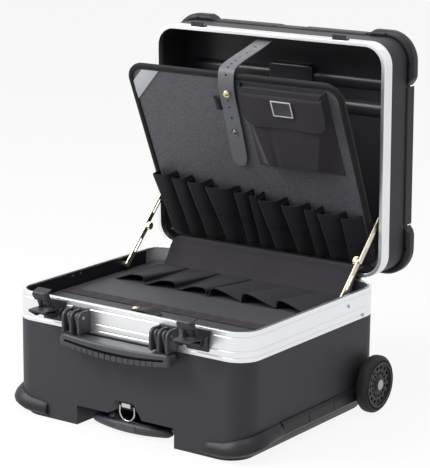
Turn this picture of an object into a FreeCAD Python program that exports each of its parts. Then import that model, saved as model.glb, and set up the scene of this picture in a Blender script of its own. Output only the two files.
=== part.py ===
"""Rolling tool case, shown open: a moulded base on two wheels with an aluminium rim, a hinged lid
with folding stays, two tool pallets, toggle latches, a carry handle and a pull-out trolley grip.

The origin is the middle of the underside, on the floor. X runs to the right, Y to the back, Z up.
Pieces of the lid are drawn closed and turned open about the hinge. Lengths are millimetres, angles degrees.
"""
import math
import os

import FreeCAD
import Part
import Sketcher
from FreeCAD import Placement, Rotation, Vector

SIZES = {
    # Case, seen from above and from the side
    "case_width": 480, "case_depth": 409, "corner_radius": 40, "base_height": 215, "lid_height": 98,
    "rim_gap": 0.5, "open_angle": 88.5, "shell_wall": 5, "floor_wall": 4, "bevel_height": 20,
    "bevel_inset": 14,
    # Clearances: pieces that lie together, pins in bores, and how far cuts run past a face
    "seat_gap": 0.3, "fit_gap": 0.05, "overrun": 1,
    # Aluminium rims
    "rim_band": 50, "lid_rim_band": 25, "rim_wall": 3, "flange_width": 7, "flange_thick": 3,
    "lip_height": 18, "lid_lip_height": 9, "groove_depth": 0.7, "groove_height": 1.6, "relief_corner": 5,
    # Trough under the floor for the trolley, with the notch of the ring
    "trough_width": 202, "trough_height": 34, "trough_end": 25, "trough_wall": 4,
    "notch_top": 37, "notch_base": 70, "notch_height": 25, "notch_depth": 30,
    # Trolley grip and its tubes
    "tube_spacing": 130, "tube_radius": 9, "tube_wall": 1.2, "tube_axis_height": 17, "tube_end_gap": 6,
    "grip_half": 81, "grip_bow": 22, "grip_thick": 17, "grip_height": 21, "grip_recess": 21, "grip_low": 4,
    "button_width": 40, "button_height": 10, "button_thick": 4.5, "button_travel": 3,
    "cover_thick": 2, "cover_start": 66,
    # Pull ring
    "ring_width": 33, "ring_wire": 3, "ring_leg": 8, "ring_pivot_height": 52, "ring_inset": 7,
    "clip_width": 18, "clip_wall": 2,
    # Bumpers and strips round the lower edge
    "strip_height": 26, "strip_proud": 7, "strip_low": 20, "strip_wheel_gap": 29, "strip_joint": 1,
    "bumper_front": 76, "bumper_side": 101, "bumper_low": 3, "bumper_chamfer": 5, "bumper_fall": 17,
    "bumper_sweep": 40,
    # Wheels
    "wheel_radius": 50, "wheel_width": 24, "wheel_set": 47.5, "wheel_stand": 10, "tyre_depth": 10,
    "tyre_round": 6, "axle_radius": 5, "hub_radius": 13, "hub_ring": 4, "hub_set": 1.2, "web_thick": 6,
    "web_set": 3, "nut_radius": 9, "nut_height": 3, "outer_hole_radius": 3, "outer_hole_ring": 30,
    "inner_hole_radius": 2.4, "inner_hole_ring": 20, "block_radius": 26, "block_foot": 3,
    # Carry handle: the bail's bar, and the fins of its brackets
    "handle_out": 19, "handle_axis_drop": 20, "handle_drop": 29.5, "bar_height": 26, "bar_thick": 24,
    "bar_bow": 4, "bar_corner": 9, "bar_round": 4, "slot_end": 9, "slot_rise": 10, "slot_height": 4.5,
    "slot_depth": 8, "rib_gap": 1.6, "rib_depth": 1.6, "arm_round": 8, "arm_corner": 6.5, "arm_root": 8,
    "pin_radius": 3, "bail_end": 2.7, "fin_pitch": 16.3, "fin_thick": 7, "fin_plate": 4, "fin_lift": 2.5,
    "fin_rise": 10, "fin_reach": 10.5, "fin_arch": 4,
    # Latches
    "latch_side": 92, "latch_gap": 9.5, "latch_axis_out": 10, "latch_axis_drop": 25,
    "latch_plate_width": 52, "latch_plate_height": 36, "latch_plate_low": 14.5, "latch_plate_taper": 5,
    "latch_plate_thick": 2.5, "ear_thick": 3, "ear_inner": 18.5, "ear_reach": 7, "ear_nose": 5,
    "ear_root": 10.5, "latch_pin": 2, "lever_half": 18, "lever_cheek": 3.2, "lever_reach": 36,
    "lever_thick": 3.5, "lever_rise": 7, "lever_open": 8, "hook_out": 7, "hook_up": 5, "hook_thick": 4,
    "hook_height": 40, "hook_tip": 9, "hook_tip_thick": 2.6, "hook_pin": 1.8, "hook_tilt": 25,
    "hook_arm": 7, "cap_half": 16, "cap_drop": 15, "cap_rise": 2.5, "cap_corner": 7, "cap_thick": 7,
    "cap_round": 4.5, "catch_width": 26, "catch_out": 9, "catch_thick": 3, "catch_rise": 1,
    "catch_top": 15, "catch_edge": 1.8,
    # Folding stays of the lid
    "stay_base_reach": 112.5, "stay_base_drop": 15, "stay_lid_back": 8, "stay_lid_rise": 108,
    "stay_width": 10, "stay_thick": 2.5, "stay_inset": 16, "stay_gap": 0.5, "stay_pin": 2.5,
    "knob_radius": 7, "knob_height": 7, "flute_radius": 1.1, "post_radius": 5, "stay_slot_width": 4,
    "stay_slot_length": 30,
    # Rear hinge
    "hinge_out": 3, "knuckle_radius": 2.6, "hinge_pin": 1.2, "leaf_thick": 0.8, "leaf_height": 14,
    "hinge_end": 40,
    # Bumpers, strips and liner of the lid
    "lid_top_round": 14, "lid_strip_height": 24, "lid_strip_proud": 3, "strip_notch_half": 22,
    "strip_notch_run": 6, "strip_notch_depth": 1.5, "lid_bumper_reach": 82, "lid_bumper_proud": 11,
    "lid_bumper_flank": 16, "lid_bumper_chamfer": 4.5, "liner_thick": 2.5, "liner_inset": 14,
    "liner_end": 31, "hump_front": 71, "hump_height": 13, "hump_width": 92, "hump_length": 46,
    "hump_corner": 8, "hump_round": 6, "ridge_half": 13, "ridge_rise": 7, "ridge_pitch": 46,
    # Pallet in the lid
    "pallet_side_gap": 18, "pallet_front_gap": 27, "pallet_thick": 5, "pallet_corner": 34,
    "pallet_tilt": 22.5, "pallet_depth": 26, "pallet_pivot": 22, "pallet_pin": 3, "pivot_boss": 5.4,
    "binding_width": 9, "binding_thick": 1.2, "pocket_height": 132, "pocket_low": 14, "pocket_swell": 15,
    "pocket_sheet": 2, "pocket_margin": 12, "pocket_toe": 4, "flap_gap": 2, "flap_side": 32,
    "flap_low": 188, "flap_height": 152, "flap_pocket_thick": 15, "flap_inset": 9, "flap_thick": 3,
    "flap_drop": 72, "patch_side": 62, "patch_thick": 1,
    # Panel in the base and what is sewn to it
    "panel_side_gap": 2, "panel_front_gap": 3, "panel_thick": 4, "band_width": 30, "band_set": 116,
    "band_thick": 2, "base_pocket_back": 53, "base_pocket_length": 108, "base_pocket_swell": 17,
    "base_pocket_toe": 3, "base_pocket_side": 26, "tab_length": 62, "tab_width": 24, "tab_corner": 9,
    "tab_thick": 3, "tab_set": 76, "tab_place": 22, "plate_front": 39.5, "plate_height": 26,
    "plate_thick": 1.5,
    # Cloth over the hinge, strap, rivets
    "gusset_side": 42, "gusset_thick": 1.6, "gusset_front": 9, "gusset_rise": 14, "gusset_reach": 12,
    "strap_width": 32, "strap_thick": 2.4, "strap_place": 8, "strap_arch": 15, "strap_length": 176,
    "rivet_radius": 3, "rivet_height": 1.2, "rivet_drop": 19, "rivet_drop_low": 44, "rivet_set": 6,
    "rivet_set_low": 56.5,
}
# Widths of the pallet's pockets from the left, as shares of the row
PALLET_POCKET_SHARES = (0.085, 0.075, 0.09, 0.118, 0.07, 0.05, 0.12, 0.10, 0.065, 0.12, 0.107)
BASE_POCKET_SHARES = (1 / 6,) * 6
HANDLE_GROOVES = 13
WHEEL_HOLES = 15
KNOB_FLUTES = 12
KNUCKLES = 10

os.makedirs("parts", exist_ok=True)
doc = FreeCAD.newDocument("rolling_tool_case")
sheet = doc.addObject("Spreadsheet::Sheet", "sizes")
for row, (alias, number) in enumerate(SIZES.items(), start=1):
    sheet.set(f"A{row}", alias)
    sheet.set(f"B{row}", str(number))
    sheet.setAlias(f"B{row}", alias)
doc.recompute()


class Size:
    """A number read from the sheet, or worked out from such numbers, with the expression that gives it."""

    def __init__(self, value, text):
        self.value = float(value)
        self.text = text

    def __float__(self):
        return self.value

    def __add__(self, other):
        return Size(self.value + float(other), f"({self.text} + {text_of(other)})")

    def __sub__(self, other):
        return Size(self.value - float(other), f"({self.text} - {text_of(other)})")

    def __mul__(self, other):
        return Size(self.value * float(other), f"({self.text} * {text_of(other)})")

    def __truediv__(self, other):
        return Size(self.value / float(other), f"({self.text} / {text_of(other)})")

    def __neg__(self):
        return Size(-self.value, f"(0 - {self.text})")

    __radd__ = __add__
    __rmul__ = __mul__


def text_of(number):
    return number.text if isinstance(number, Size) else repr(float(number))


class Sheet:
    """Gives each alias of the sheet as a Size."""

    def __getattr__(self, alias):
        return Size(sheet.get(alias), f"sizes.{alias}")


s = Sheet()
zero = Size(0, "0")
nodes = {}


def part(name, piece, place=None):
    """Names a finished piece, sets where it stands and keeps it for the export."""
    piece.Label = name
    if place is not None:
        piece.Placement = place
    nodes[name] = piece
    return piece


def new_body(name):
    return doc.addObject("PartDesign::Body", name)


def sketch(body, role, offset=zero):
    """A sketch on one of the body's own planes, moved along that plane's normal (XZ looks to -Y)."""
    drawn = body.newObject("Sketcher::SketchObject", "Outline")
    plane = next(item for item in body.Origin.OriginFeatures if item.Role == role)
    drawn.AttachmentSupport = [(plane, "")]
    drawn.MapMode = "FlatFace"
    drawn.AttachmentOffset = Placement(Vector(0, 0, float(offset)), Rotation())
    drawn.setExpression("AttachmentOffset.Base.z", offset.text)
    return drawn


def hold(drawn, kind, where, value):
    index = drawn.addConstraint(Sketcher.Constraint(kind, *where, float(value)))
    drawn.setExpression(f"Constraints[{index}]", text_of(value))


def pin_point(drawn, line, end, x, y):
    hold(drawn, "DistanceX", (-1, 1, line, end), x)
    hold(drawn, "DistanceY", (-1, 1, line, end), y)


def polygon(drawn, points, closed=True):
    """A chain of straight lines whose points are held by their two coordinates."""
    first = drawn.GeometryCount
    spots = [Vector(float(x), float(y), 0) for x, y in points]
    count = len(spots) if closed else len(spots) - 1
    for index in range(count):
        drawn.addGeometry(Part.LineSegment(spots[index], spots[(index + 1) % len(spots)]), False)
    for index in range(count if closed else count - 1):
        drawn.addConstraint(Sketcher.Constraint("Coincident", first + index, 2, first + (index + 1) % count, 1))
    for index, (x, y) in enumerate(points):
        if index < count:
            pin_point(drawn, first + index, 1, x, y)
        else:
            pin_point(drawn, first + index - 1, 2, x, y)
    return drawn


def rounded(drawn, left, right, low, high, radius):
    """A rectangle with round corners, held by its four sides and one radius."""
    first = drawn.GeometryCount
    x0, x1, y0, y1, r = (float(value) for value in (left, right, low, high, radius))
    ends = [((x0 + r, y0), (x1 - r, y0)), ((x1, y0 + r), (x1, y1 - r)),
            ((x1 - r, y1), (x0 + r, y1)), ((x0, y1 - r), (x0, y0 + r))]
    hubs = [(x1 - r, y0 + r), (x1 - r, y1 - r), (x0 + r, y1 - r), (x0 + r, y0 + r)]
    for turn, ((start, end), hub) in enumerate(zip(ends, hubs)):
        drawn.addGeometry(Part.LineSegment(Vector(*start, 0), Vector(*end, 0)), False)
        circle_line = Part.Circle(Vector(*hub, 0), Vector(0, 0, 1), r)
        angle = (turn - 1) * math.pi / 2
        drawn.addGeometry(Part.ArcOfCircle(circle_line, angle, angle + math.pi / 2), False)
    for index in range(8):
        drawn.addConstraint(Sketcher.Constraint("Tangent", first + index, 2, first + (index + 1) % 8, 1))
    for index in (0, 4):
        drawn.addConstraint(Sketcher.Constraint("Horizontal", first + index))
        drawn.addConstraint(Sketcher.Constraint("Vertical", first + index + 2))
    for index in (3, 5, 7):
        drawn.addConstraint(Sketcher.Constraint("Equal", first + 1, first + index))
    hold(drawn, "DistanceY", (-1, 1, first, 1), low)
    hold(drawn, "DistanceX", (-1, 1, first + 2, 1), right)
    hold(drawn, "DistanceY", (-1, 1, first + 4, 1), high)
    hold(drawn, "DistanceX", (-1, 1, first + 6, 1), left)
    hold(drawn, "Radius", (first + 1,), radius)
    return drawn


def circle(drawn, x, y, radius):
    index = drawn.addGeometry(Part.Circle(Vector(float(x), float(y), 0), Vector(0, 0, 1), float(radius)), False)
    pin_point(drawn, index, 3, x, y)
    hold(drawn, "Radius", (index,), radius)
    return drawn


def box_outline(drawn, left, right, low, high):
    return polygon(drawn, [(left, low), (right, low), (right, high), (left, high)])


def arc_between(drawn, left, right, level, rise):
    """An arc from left to right at one level, with its middle raised (or lowered) by the rise."""
    half = (right - left) / 2
    middle = (left + right) / 2
    spots = [Vector(float(left), float(level), 0), Vector(float(middle), float(level + rise), 0),
             Vector(float(right), float(level), 0)]
    index = drawn.addGeometry(Part.Arc(*spots), False)
    ends = (1, 2) if float(rise) < 0 else (2, 1)
    pin_point(drawn, index, ends[0], left, level)
    pin_point(drawn, index, ends[1], right, level)
    height = rise if float(rise) > 0 else -rise
    hold(drawn, "Radius", (index,), (half * half + height * height) / (height * 2))
    return index, ends


def dome(drawn, left, right, level, rise):
    """A segment of a circle on a straight base."""
    arc, ends = arc_between(drawn, left, right, level, rise)
    base = Part.LineSegment(Vector(float(left), float(level), 0), Vector(float(right), float(level), 0))
    line = drawn.addGeometry(base, False)
    drawn.addConstraint(Sketcher.Constraint("Coincident", line, 1, arc, ends[0]))
    drawn.addConstraint(Sketcher.Constraint("Coincident", line, 2, arc, ends[1]))
    return drawn


def bow_box(drawn, half, low, high, bow):
    """A box outline whose lower side bows down."""
    polygon(drawn, [(half, low), (half, high), (-half, high), (-half, low)], closed=False)
    arc, ends = arc_between(drawn, -half, half, low, -bow)
    return drawn


def bowed(drawn, half, ends, bow, thick):
    """A crescent outline: two arcs of the same rise, a thickness apart, joined by straight ends."""
    front, _ = arc_between(drawn, -half, half, ends, -bow)
    rear, _ = arc_between(drawn, -half, half, ends + thick, -bow)
    for x, end in ((-half, 1), (half, 2)):
        side = Part.LineSegment(Vector(float(x), float(ends), 0), Vector(float(x), float(ends + thick), 0))
        line = drawn.addGeometry(side, False)
        drawn.addConstraint(Sketcher.Constraint("Coincident", line, 1, front, end))
        drawn.addConstraint(Sketcher.Constraint("Coincident", line, 2, rear, end))
    return drawn


def plan(body, inset, height, front_inset=None, side_inset=None):
    """The case's rounded outline at one height, drawn in by an inset."""
    half = s.case_width / 2 - (inset if side_inset is None else side_inset)
    back = s.case_depth / 2 - (inset if side_inset is None else side_inset)
    front = s.case_depth / 2 - (inset if front_inset is None else front_inset)
    return rounded(sketch(body, "XY_Plane", height), -half, half, -front, back, s.corner_radius - inset)


def pad(body, drawn, length, back=False):
    made = body.newObject("PartDesign::Pad", "Pad")
    made.Profile = drawn
    made.setExpression("Length", length.text)
    made.Reversed = back
    doc.recompute()
    return made


def pocket(body, drawn, length, back=False):
    """Cuts a profile away, and stops if the cut met nothing."""
    before = body.Shape.Volume
    made = body.newObject("PartDesign::Pocket", "Pocket")
    made.Profile = drawn
    made.setExpression("Length", length.text)
    made.Reversed = back
    doc.recompute()
    if body.Shape.Volume >= before:
        raise ValueError(f"{body.Label}: a pocket cuts nothing")
    return made


def loft(body, drawn, last, cut=False):
    made = body.newObject("PartDesign::SubtractiveLoft" if cut else "PartDesign::AdditiveLoft", "Loft")
    made.Profile = drawn
    made.Sections = [last]
    made.Ruled = True
    doc.recompute()
    return made


def revolve(body, drawn):
    made = body.newObject("PartDesign::Revolution", "Revolution")
    made.Profile = drawn
    made.ReferenceAxis = (drawn, ["V_Axis"])
    doc.recompute()
    return made


def pattern_round(body, feature, count):
    axis = next(item for item in body.Origin.OriginFeatures if item.Role == "Z_Axis")
    made = body.newObject("PartDesign::PolarPattern", "Ring")
    made.Originals = [feature]
    made.Axis = (axis, [""])
    made.Occurrences = count
    body.Tip = made
    doc.recompute()
    return made


def pattern_line(body, feature, role, pitch, count):
    axis = next(item for item in body.Origin.OriginFeatures if item.Role == role)
    made = body.newObject("PartDesign::LinearPattern", "Row")
    made.Originals = [feature]
    made.Direction = (axis, [""])
    made.setExpression("Length", (pitch * (count - 1)).text)
    made.Occurrences = count
    body.Tip = made
    doc.recompute()
    return made


def soften(body, kind, width, wanted):
    """Rounds (Fillet) or bevels (Chamfer) the edges of the body that the test picks."""
    base = body.Tip
    names = [f"Edge{index}" for index, edge in enumerate(base.Shape.Edges, start=1) if wanted(edge)]
    made = body.newObject(f"PartDesign::{kind}", kind)
    made.Base = (base, names)
    made.setExpression("Radius" if kind == "Fillet" else "Size", width.text)
    doc.recompute()
    return made


def mirror_of(name, source, normal=Vector(1, 0, 0)):
    made = doc.addObject("Part::Mirroring", name)
    made.Source = source
    made.Normal = normal
    return made


def pair(name, right_piece, place=None):
    """A right-hand piece and its mirror image in one node."""
    right_piece.Label = f"{name} right hand"
    made = doc.addObject("Part::Compound", name)
    made.Links = [right_piece, mirror_of(f"{name}_mirror", right_piece)]
    return part(name, made, place)


def left_and_right(name, right_piece):
    """A right-hand piece and its mirror image as two nodes."""
    part(f"{name}_right", right_piece)
    return part(f"{name}_left", mirror_of(f"{name}_left", right_piece))


def straight_along(axis, tolerance=1e-6):
    """A test for straight edges that run along one direction."""
    def wanted(edge):
        if not isinstance(edge.Curve, Part.Line):
            return False
        return abs(abs(edge.tangentAt(edge.FirstParameter).dot(axis)) - 1) < tolerance
    return wanted


def at_height(height, tolerance=1e-6):
    """A test for edges that lie level at one height."""
    level = float(height)

    def wanted(edge):
        box = edge.BoundBox
        return max(abs(box.ZMin - level), abs(box.ZMax - level)) < tolerance
    return wanted


def at_depth(depth, tolerance=1e-6):
    """A test for edges that lie upright at one depth."""
    plane = float(depth)

    def wanted(edge):
        box = edge.BoundBox
        return max(abs(box.YMin - plane), abs(box.YMax - plane)) < tolerance
    return wanted


half_width = s.case_width / 2
half_depth = s.case_depth / 2
shell_top = s.base_height - s.rim_band
rim_inside = half_width - s.rim_wall
lip_inset = s.rim_wall + s.seat_gap
hinge_depth = half_depth + s.hinge_out
hinge_height = s.base_height + s.rim_gap / 2
lid_low = s.base_height + s.rim_gap
lid_shell_low = lid_low + s.lid_rim_band
lid_top = s.base_height + s.lid_height
LID_OPEN = Placement(Vector(), Rotation(Vector(1, 0, 0), -float(s.open_angle)),
                     Vector(0, float(hinge_depth), float(hinge_height)))

# Where the folding stays stand: two equal links from a post on the base to a post on the lid, straight
# when the lid is open. Shut, their elbow folds back over the panel, and the rim leaves room for it.
stay_base_depth = hinge_depth - s.stay_base_reach
stay_base_height = s.base_height - s.stay_base_drop
stay_lid_depth = hinge_depth + s.stay_lid_back
stay_lid_height = hinge_height + s.stay_lid_rise
lower_plane = half_width - s.stay_inset
upper_plane = lower_plane + s.stay_thick + s.stay_gap
stay_base = Vector(0, float(stay_base_depth), float(stay_base_height))
stay_lid = Vector(0, float(stay_lid_depth), float(stay_lid_height))
stay_reach = stay_base.distanceToPoint(stay_lid) / 2
elbow_open = (stay_base + stay_lid) / 2
stay_lid_shut = LID_OPEN.inverse().multVec(stay_lid)
fold_span = stay_lid_shut - stay_base
fold_side = Vector(0, fold_span.z, -fold_span.y).normalize()
fold_out = math.sqrt(stay_reach ** 2 - (fold_span.Length / 2) ** 2)
elbow_shut = (stay_base + stay_lid_shut) / 2 + fold_side * fold_out

# Base shell: a moulded tray with bevelled lower sides, a trough under its floor and a lip inside the rim
base_shell = new_body("base_shell")
loft(base_shell, plan(base_shell, zero, zero, side_inset=s.bevel_inset), plan(base_shell, zero, s.bevel_height))
pad(base_shell, plan(base_shell, zero, s.bevel_height), shell_top - s.bevel_height)
pad(base_shell, plan(base_shell, lip_inset, shell_top), s.lip_height)
pocket(base_shell, plan(base_shell, s.shell_wall, shell_top + s.lip_height),
       shell_top + s.lip_height - s.bevel_height)
loft(base_shell, plan(base_shell, s.shell_wall, s.floor_wall, side_inset=s.bevel_inset + s.shell_wall),
     plan(base_shell, s.shell_wall, s.bevel_height), cut=True)
trough_half = s.trough_width / 2
trough_length = s.case_depth - s.trough_end
roof_half = trough_half + s.trough_wall
roof_height = s.trough_height + s.trough_wall
notch_low_half = s.notch_base / 2
notch_top_half = s.notch_top / 2
notch_top = s.trough_height + s.notch_height
inside_front = half_depth - s.shell_wall
block = sketch(base_shell, "XZ_Plane", inside_front)
box_outline(block, -roof_half, roof_half, s.floor_wall, roof_height)
pad(base_shell, block, trough_length - s.shell_wall + s.trough_wall, back=True)
notch_block = sketch(base_shell, "XZ_Plane", inside_front)
polygon(notch_block, [
    (-notch_low_half - s.trough_wall, s.trough_height), (notch_low_half + s.trough_wall, s.trough_height),
    (notch_top_half + s.trough_wall, notch_top + s.trough_wall),
    (-notch_top_half - s.trough_wall, notch_top + s.trough_wall)])
pad(base_shell, notch_block, s.notch_depth - s.shell_wall + s.trough_wall, back=True)
trough = sketch(base_shell, "XZ_Plane", half_depth)
box_outline(trough, -trough_half, trough_half, -s.overrun, s.trough_height)
pocket(base_shell, trough, trough_length)
notch = sketch(base_shell, "XZ_Plane", half_depth)
polygon(notch, [(-notch_low_half, s.trough_height), (notch_low_half, s.trough_height),
                (notch_top_half, notch_top), (-notch_top_half, notch_top)])
pocket(base_shell, notch, s.notch_depth)
part("base_shell", base_shell)

# Underside cover that closes the trough behind the grip, flush with the floor of the shell
cover_half = trough_half - s.seat_gap
trolley_cover = new_body("trolley_cover")
cover_plan = sketch(trolley_cover, "XY_Plane")
box_outline(cover_plan, -cover_half, cover_half, -half_depth + s.cover_start,
            -half_depth + trough_length - s.seat_gap)
pad(trolley_cover, cover_plan, s.cover_thick)
part("trolley_cover", trolley_cover)


def rim(name, low, band, flange_low, groove_shares):
    """An aluminium rim: an upright band with drawn grooves outside and a flange inside its mating edge."""
    made = new_body(name)
    pad(made, plan(made, zero, low), band)
    pocket(made, plan(made, s.rim_wall, low), band, back=True)
    ring = plan(made, s.rim_wall / 2, flange_low)
    half = half_width - s.flange_width
    depth = half_depth - s.flange_width
    rounded(ring, -half, half, -depth, depth, s.corner_radius - s.flange_width)
    pad(made, ring, s.flange_thick)
    for share in groove_shares:
        groove = plan(made, s.groove_depth, low + band * share)
        half = half_width + s.overrun
        depth = half_depth + s.overrun
        rounded(groove, -half, half, -depth, depth, s.corner_radius + s.overrun)
        pocket(made, groove, s.groove_height, back=True)
    return made


# Base rim, with a relief in each rear corner of its flange for the folding elbow of the stay
base_groove_shares = (0.12, 0.34, 0.8)
base_rim = rim("base_rim", shell_top, s.rim_band, s.base_height - s.flange_thick, base_groove_shares)
relief_inner = lower_plane - s.knob_height - s.stay_gap * 2
relief_outer = upper_plane + s.stay_thick + s.stay_gap
relief_front = half_depth - s.corner_radius
relief_back = Size(elbow_shut.y, repr(elbow_shut.y)) + s.knob_radius + s.stay_gap
for side in (1, -1):
    relief = sketch(base_rim, "XY_Plane", s.base_height + s.overrun)
    polygon(relief, [
        (relief_inner * side, relief_front), (relief_outer * side, relief_front),
        (relief_outer * side, relief_back - s.relief_corner),
        ((relief_outer - s.relief_corner) * side, relief_back), (relief_inner * side, relief_back)])
    pocket(base_rim, relief, s.flange_thick + s.overrun)
part("base_rim", base_rim)

lid_groove_shares = (0.3, 0.62)
part("lid_rim", rim("lid_rim", lid_low, s.lid_rim_band, lid_low, lid_groove_shares), LID_OPEN)

# Lid shell: a moulded tray turned over, with a rounded outer edge and a lip inside its rim
lid_shell = new_body("lid_shell")
pad(lid_shell, plan(lid_shell, zero, lid_shell_low), lid_top - lid_shell_low)
soften(lid_shell, "Fillet", s.lid_top_round, at_height(lid_top))
pad(lid_shell, plan(lid_shell, lip_inset, lid_shell_low), s.lid_lip_height, back=True)
pocket(lid_shell, plan(lid_shell, s.shell_wall, lid_shell_low - s.lid_lip_height),
       lid_top - lid_shell_low + s.lid_lip_height - s.shell_wall, back=True)
part("lid_shell", lid_shell, LID_OPEN)

# Moulded liner of the lid: a formed sheet with round ridges and a raised box, fixed inside the lid
liner = new_body("lid_liner")
liner_low = lid_top - s.shell_wall - s.liner_thick
pad(liner, plan(liner, s.liner_inset, liner_low), s.liner_thick)
hump_depth = -half_depth + s.liner_inset + s.hump_front
hump_half = s.hump_width / 2
hump = sketch(liner, "XY_Plane", liner_low)
rounded(hump, -hump_half, hump_half, hump_depth - s.hump_length / 2, hump_depth + s.hump_length / 2,
        s.hump_corner)
pad(liner, hump, s.hump_height, back=True)
soften(liner, "Fillet", s.hump_round, at_height(liner_low - s.hump_height))
ridge_end = half_width - s.liner_end
for ridge_depth in (hump_depth, hump_depth + s.ridge_pitch):
    ridge = sketch(liner, "YZ_Plane", -ridge_end)
    dome(ridge, ridge_depth - s.ridge_half, ridge_depth + s.ridge_half, liner_low, -s.ridge_rise)
    pad(liner, ridge, ridge_end * 2)
part("lid_liner", liner, LID_OPEN)


def outer_edges(height, proud):
    """A test for the level edges of the outermost outline, which stands proud of the case."""
    def wanted(edge):
        if not at_height(height)(edge):
            return False
        if isinstance(edge.Curve, Part.Circle):
            return abs(edge.Curve.Radius - float(s.corner_radius + proud)) < 1e-6
        middle = edge.valueAt((edge.FirstParameter + edge.LastParameter) / 2)
        return max(abs(middle.x) - float(half_width), abs(middle.y) - float(half_depth)) > float(proud) - 1e-6
    return wanted


def corner_bar(name, proud, low, high, chamfer, front_reach, side_reach, flank=zero):
    """A bar wrapped round the front right corner of the case, bevelled outside, with sloped or square ends."""
    made = new_body(name)
    ring = plan(made, -proud, low)
    inner_half = half_width + s.seat_gap
    inner_depth = half_depth + s.seat_gap
    rounded(ring, -inner_half, inner_half, -inner_depth, inner_depth, s.corner_radius + s.seat_gap)
    pad(made, ring, high - low)
    soften(made, "Chamfer", chamfer, lambda edge: outer_edges(high, proud)(edge) or outer_edges(low, proud)(edge))
    cut = sketch(made, "XY_Plane", high + s.overrun)
    near_x = half_width - front_reach
    near_y = -half_depth + side_reach
    far_x = half_width + proud + s.overrun
    far_y = -half_depth - proud - s.overrun
    polygon(cut, [(-s.case_width, far_y), (near_x + flank, far_y), (near_x, -half_depth), (near_x, near_y),
                  (half_width, near_y), (far_x, near_y - flank), (far_x, s.case_width),
                  (-s.case_width, s.case_width)])
    pocket(made, cut, high - low + s.overrun * 2)
    return made


# Front corner bumpers: low at the front, rising to the height of the side strips
strip_high = s.strip_low + s.strip_height
bumper = corner_bar("corner_bumper", s.strip_proud, s.bumper_low, strip_high, s.bumper_chamfer,
                    s.bumper_front, s.bumper_side)
front_rise = sketch(bumper, "XZ_Plane", half_depth + s.strip_proud + s.overrun)
front_start = half_width - s.bumper_front - s.overrun
front_end = half_width - s.corner_radius
polygon(front_rise, [(front_start, strip_high - s.bumper_fall), (front_end, strip_high),
                     (front_end, strip_high + s.overrun), (front_start, strip_high + s.overrun)])
pocket(bumper, front_rise, s.corner_radius)
side_rise = sketch(bumper, "YZ_Plane", half_width + s.strip_proud + s.overrun)
side_start = -half_depth + s.bumper_fall
side_end = -half_depth + s.bumper_side + s.overrun
polygon(side_rise, [(side_start, s.bumper_low - s.overrun), (side_end, s.bumper_low - s.overrun),
                    (side_end, s.strip_low), (side_start + s.bumper_sweep, s.strip_low)])
pocket(bumper, side_rise, s.corner_radius)
pair("corner_bumpers", bumper)

# Side strips along the lower edge, with shallow joints between their lengths
wheel_place = half_depth - s.wheel_set
strip = new_body("side_strip")
strip_start = -half_depth + s.bumper_side + s.strip_joint
strip_run = wheel_place - s.strip_wheel_gap - strip_start
strip_inner = half_width + s.seat_gap
strip_outer = half_width + s.strip_proud
strip_face = sketch(strip, "XZ_Plane", -strip_start)
polygon(strip_face, [
    (strip_inner, s.strip_low), (strip_outer - s.bumper_chamfer, s.strip_low),
    (strip_outer, s.strip_low + s.bumper_chamfer), (strip_outer, strip_high - s.bumper_chamfer),
    (strip_outer - s.bumper_chamfer, strip_high), (strip_inner, strip_high)])
pad(strip, strip_face, strip_run, back=True)
joint_pitch = strip_run / 3
seam = sketch(strip, "XZ_Plane", -strip_start - joint_pitch)
box_outline(seam, strip_outer - s.strip_joint, strip_outer + s.overrun, s.strip_low - s.overrun,
            strip_high + s.overrun)
seam_cut = pocket(strip, seam, s.strip_joint)
pattern_line(strip, seam_cut, "Y_Axis", joint_pitch, 2)
pair("side_strips", strip)

# Lid bumpers: rounded ears on the four corners of the lid, with sloped ends
lid_strip_low = lid_top - s.lid_strip_height
lid_bumper = corner_bar("lid_bumper", s.lid_bumper_proud, lid_strip_low, lid_top, s.lid_bumper_chamfer,
                        s.lid_bumper_reach, s.lid_bumper_reach, s.lid_bumper_flank)
lid_bumper_rear = mirror_of("lid_bumper_rear", lid_bumper, Vector(0, 1, 0))
lid_bumpers = doc.addObject("Part::Compound", "lid_bumpers")
lid_bumpers.Links = [lid_bumper, lid_bumper_rear, mirror_of("lid_bumper_left", lid_bumper),
                     mirror_of("lid_bumper_rear_left", lid_bumper_rear)]
part("lid_bumpers", lid_bumpers, LID_OPEN)


def lid_strip(name, role, reach, half_length):
    """A straight strip on one side of the lid, bevelled at its outer corners."""
    made = new_body(name)
    inner = reach + s.seat_gap
    outer = reach + s.lid_strip_proud
    bevel = s.lid_strip_proud / 2
    profile = sketch(made, role, -half_length)
    polygon(profile, [(inner, lid_strip_low), (outer - bevel, lid_strip_low), (outer, lid_strip_low + bevel),
                      (outer, lid_top - bevel), (outer - bevel, lid_top), (inner, lid_top)])
    pad(made, profile, half_length * 2)
    return made


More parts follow.
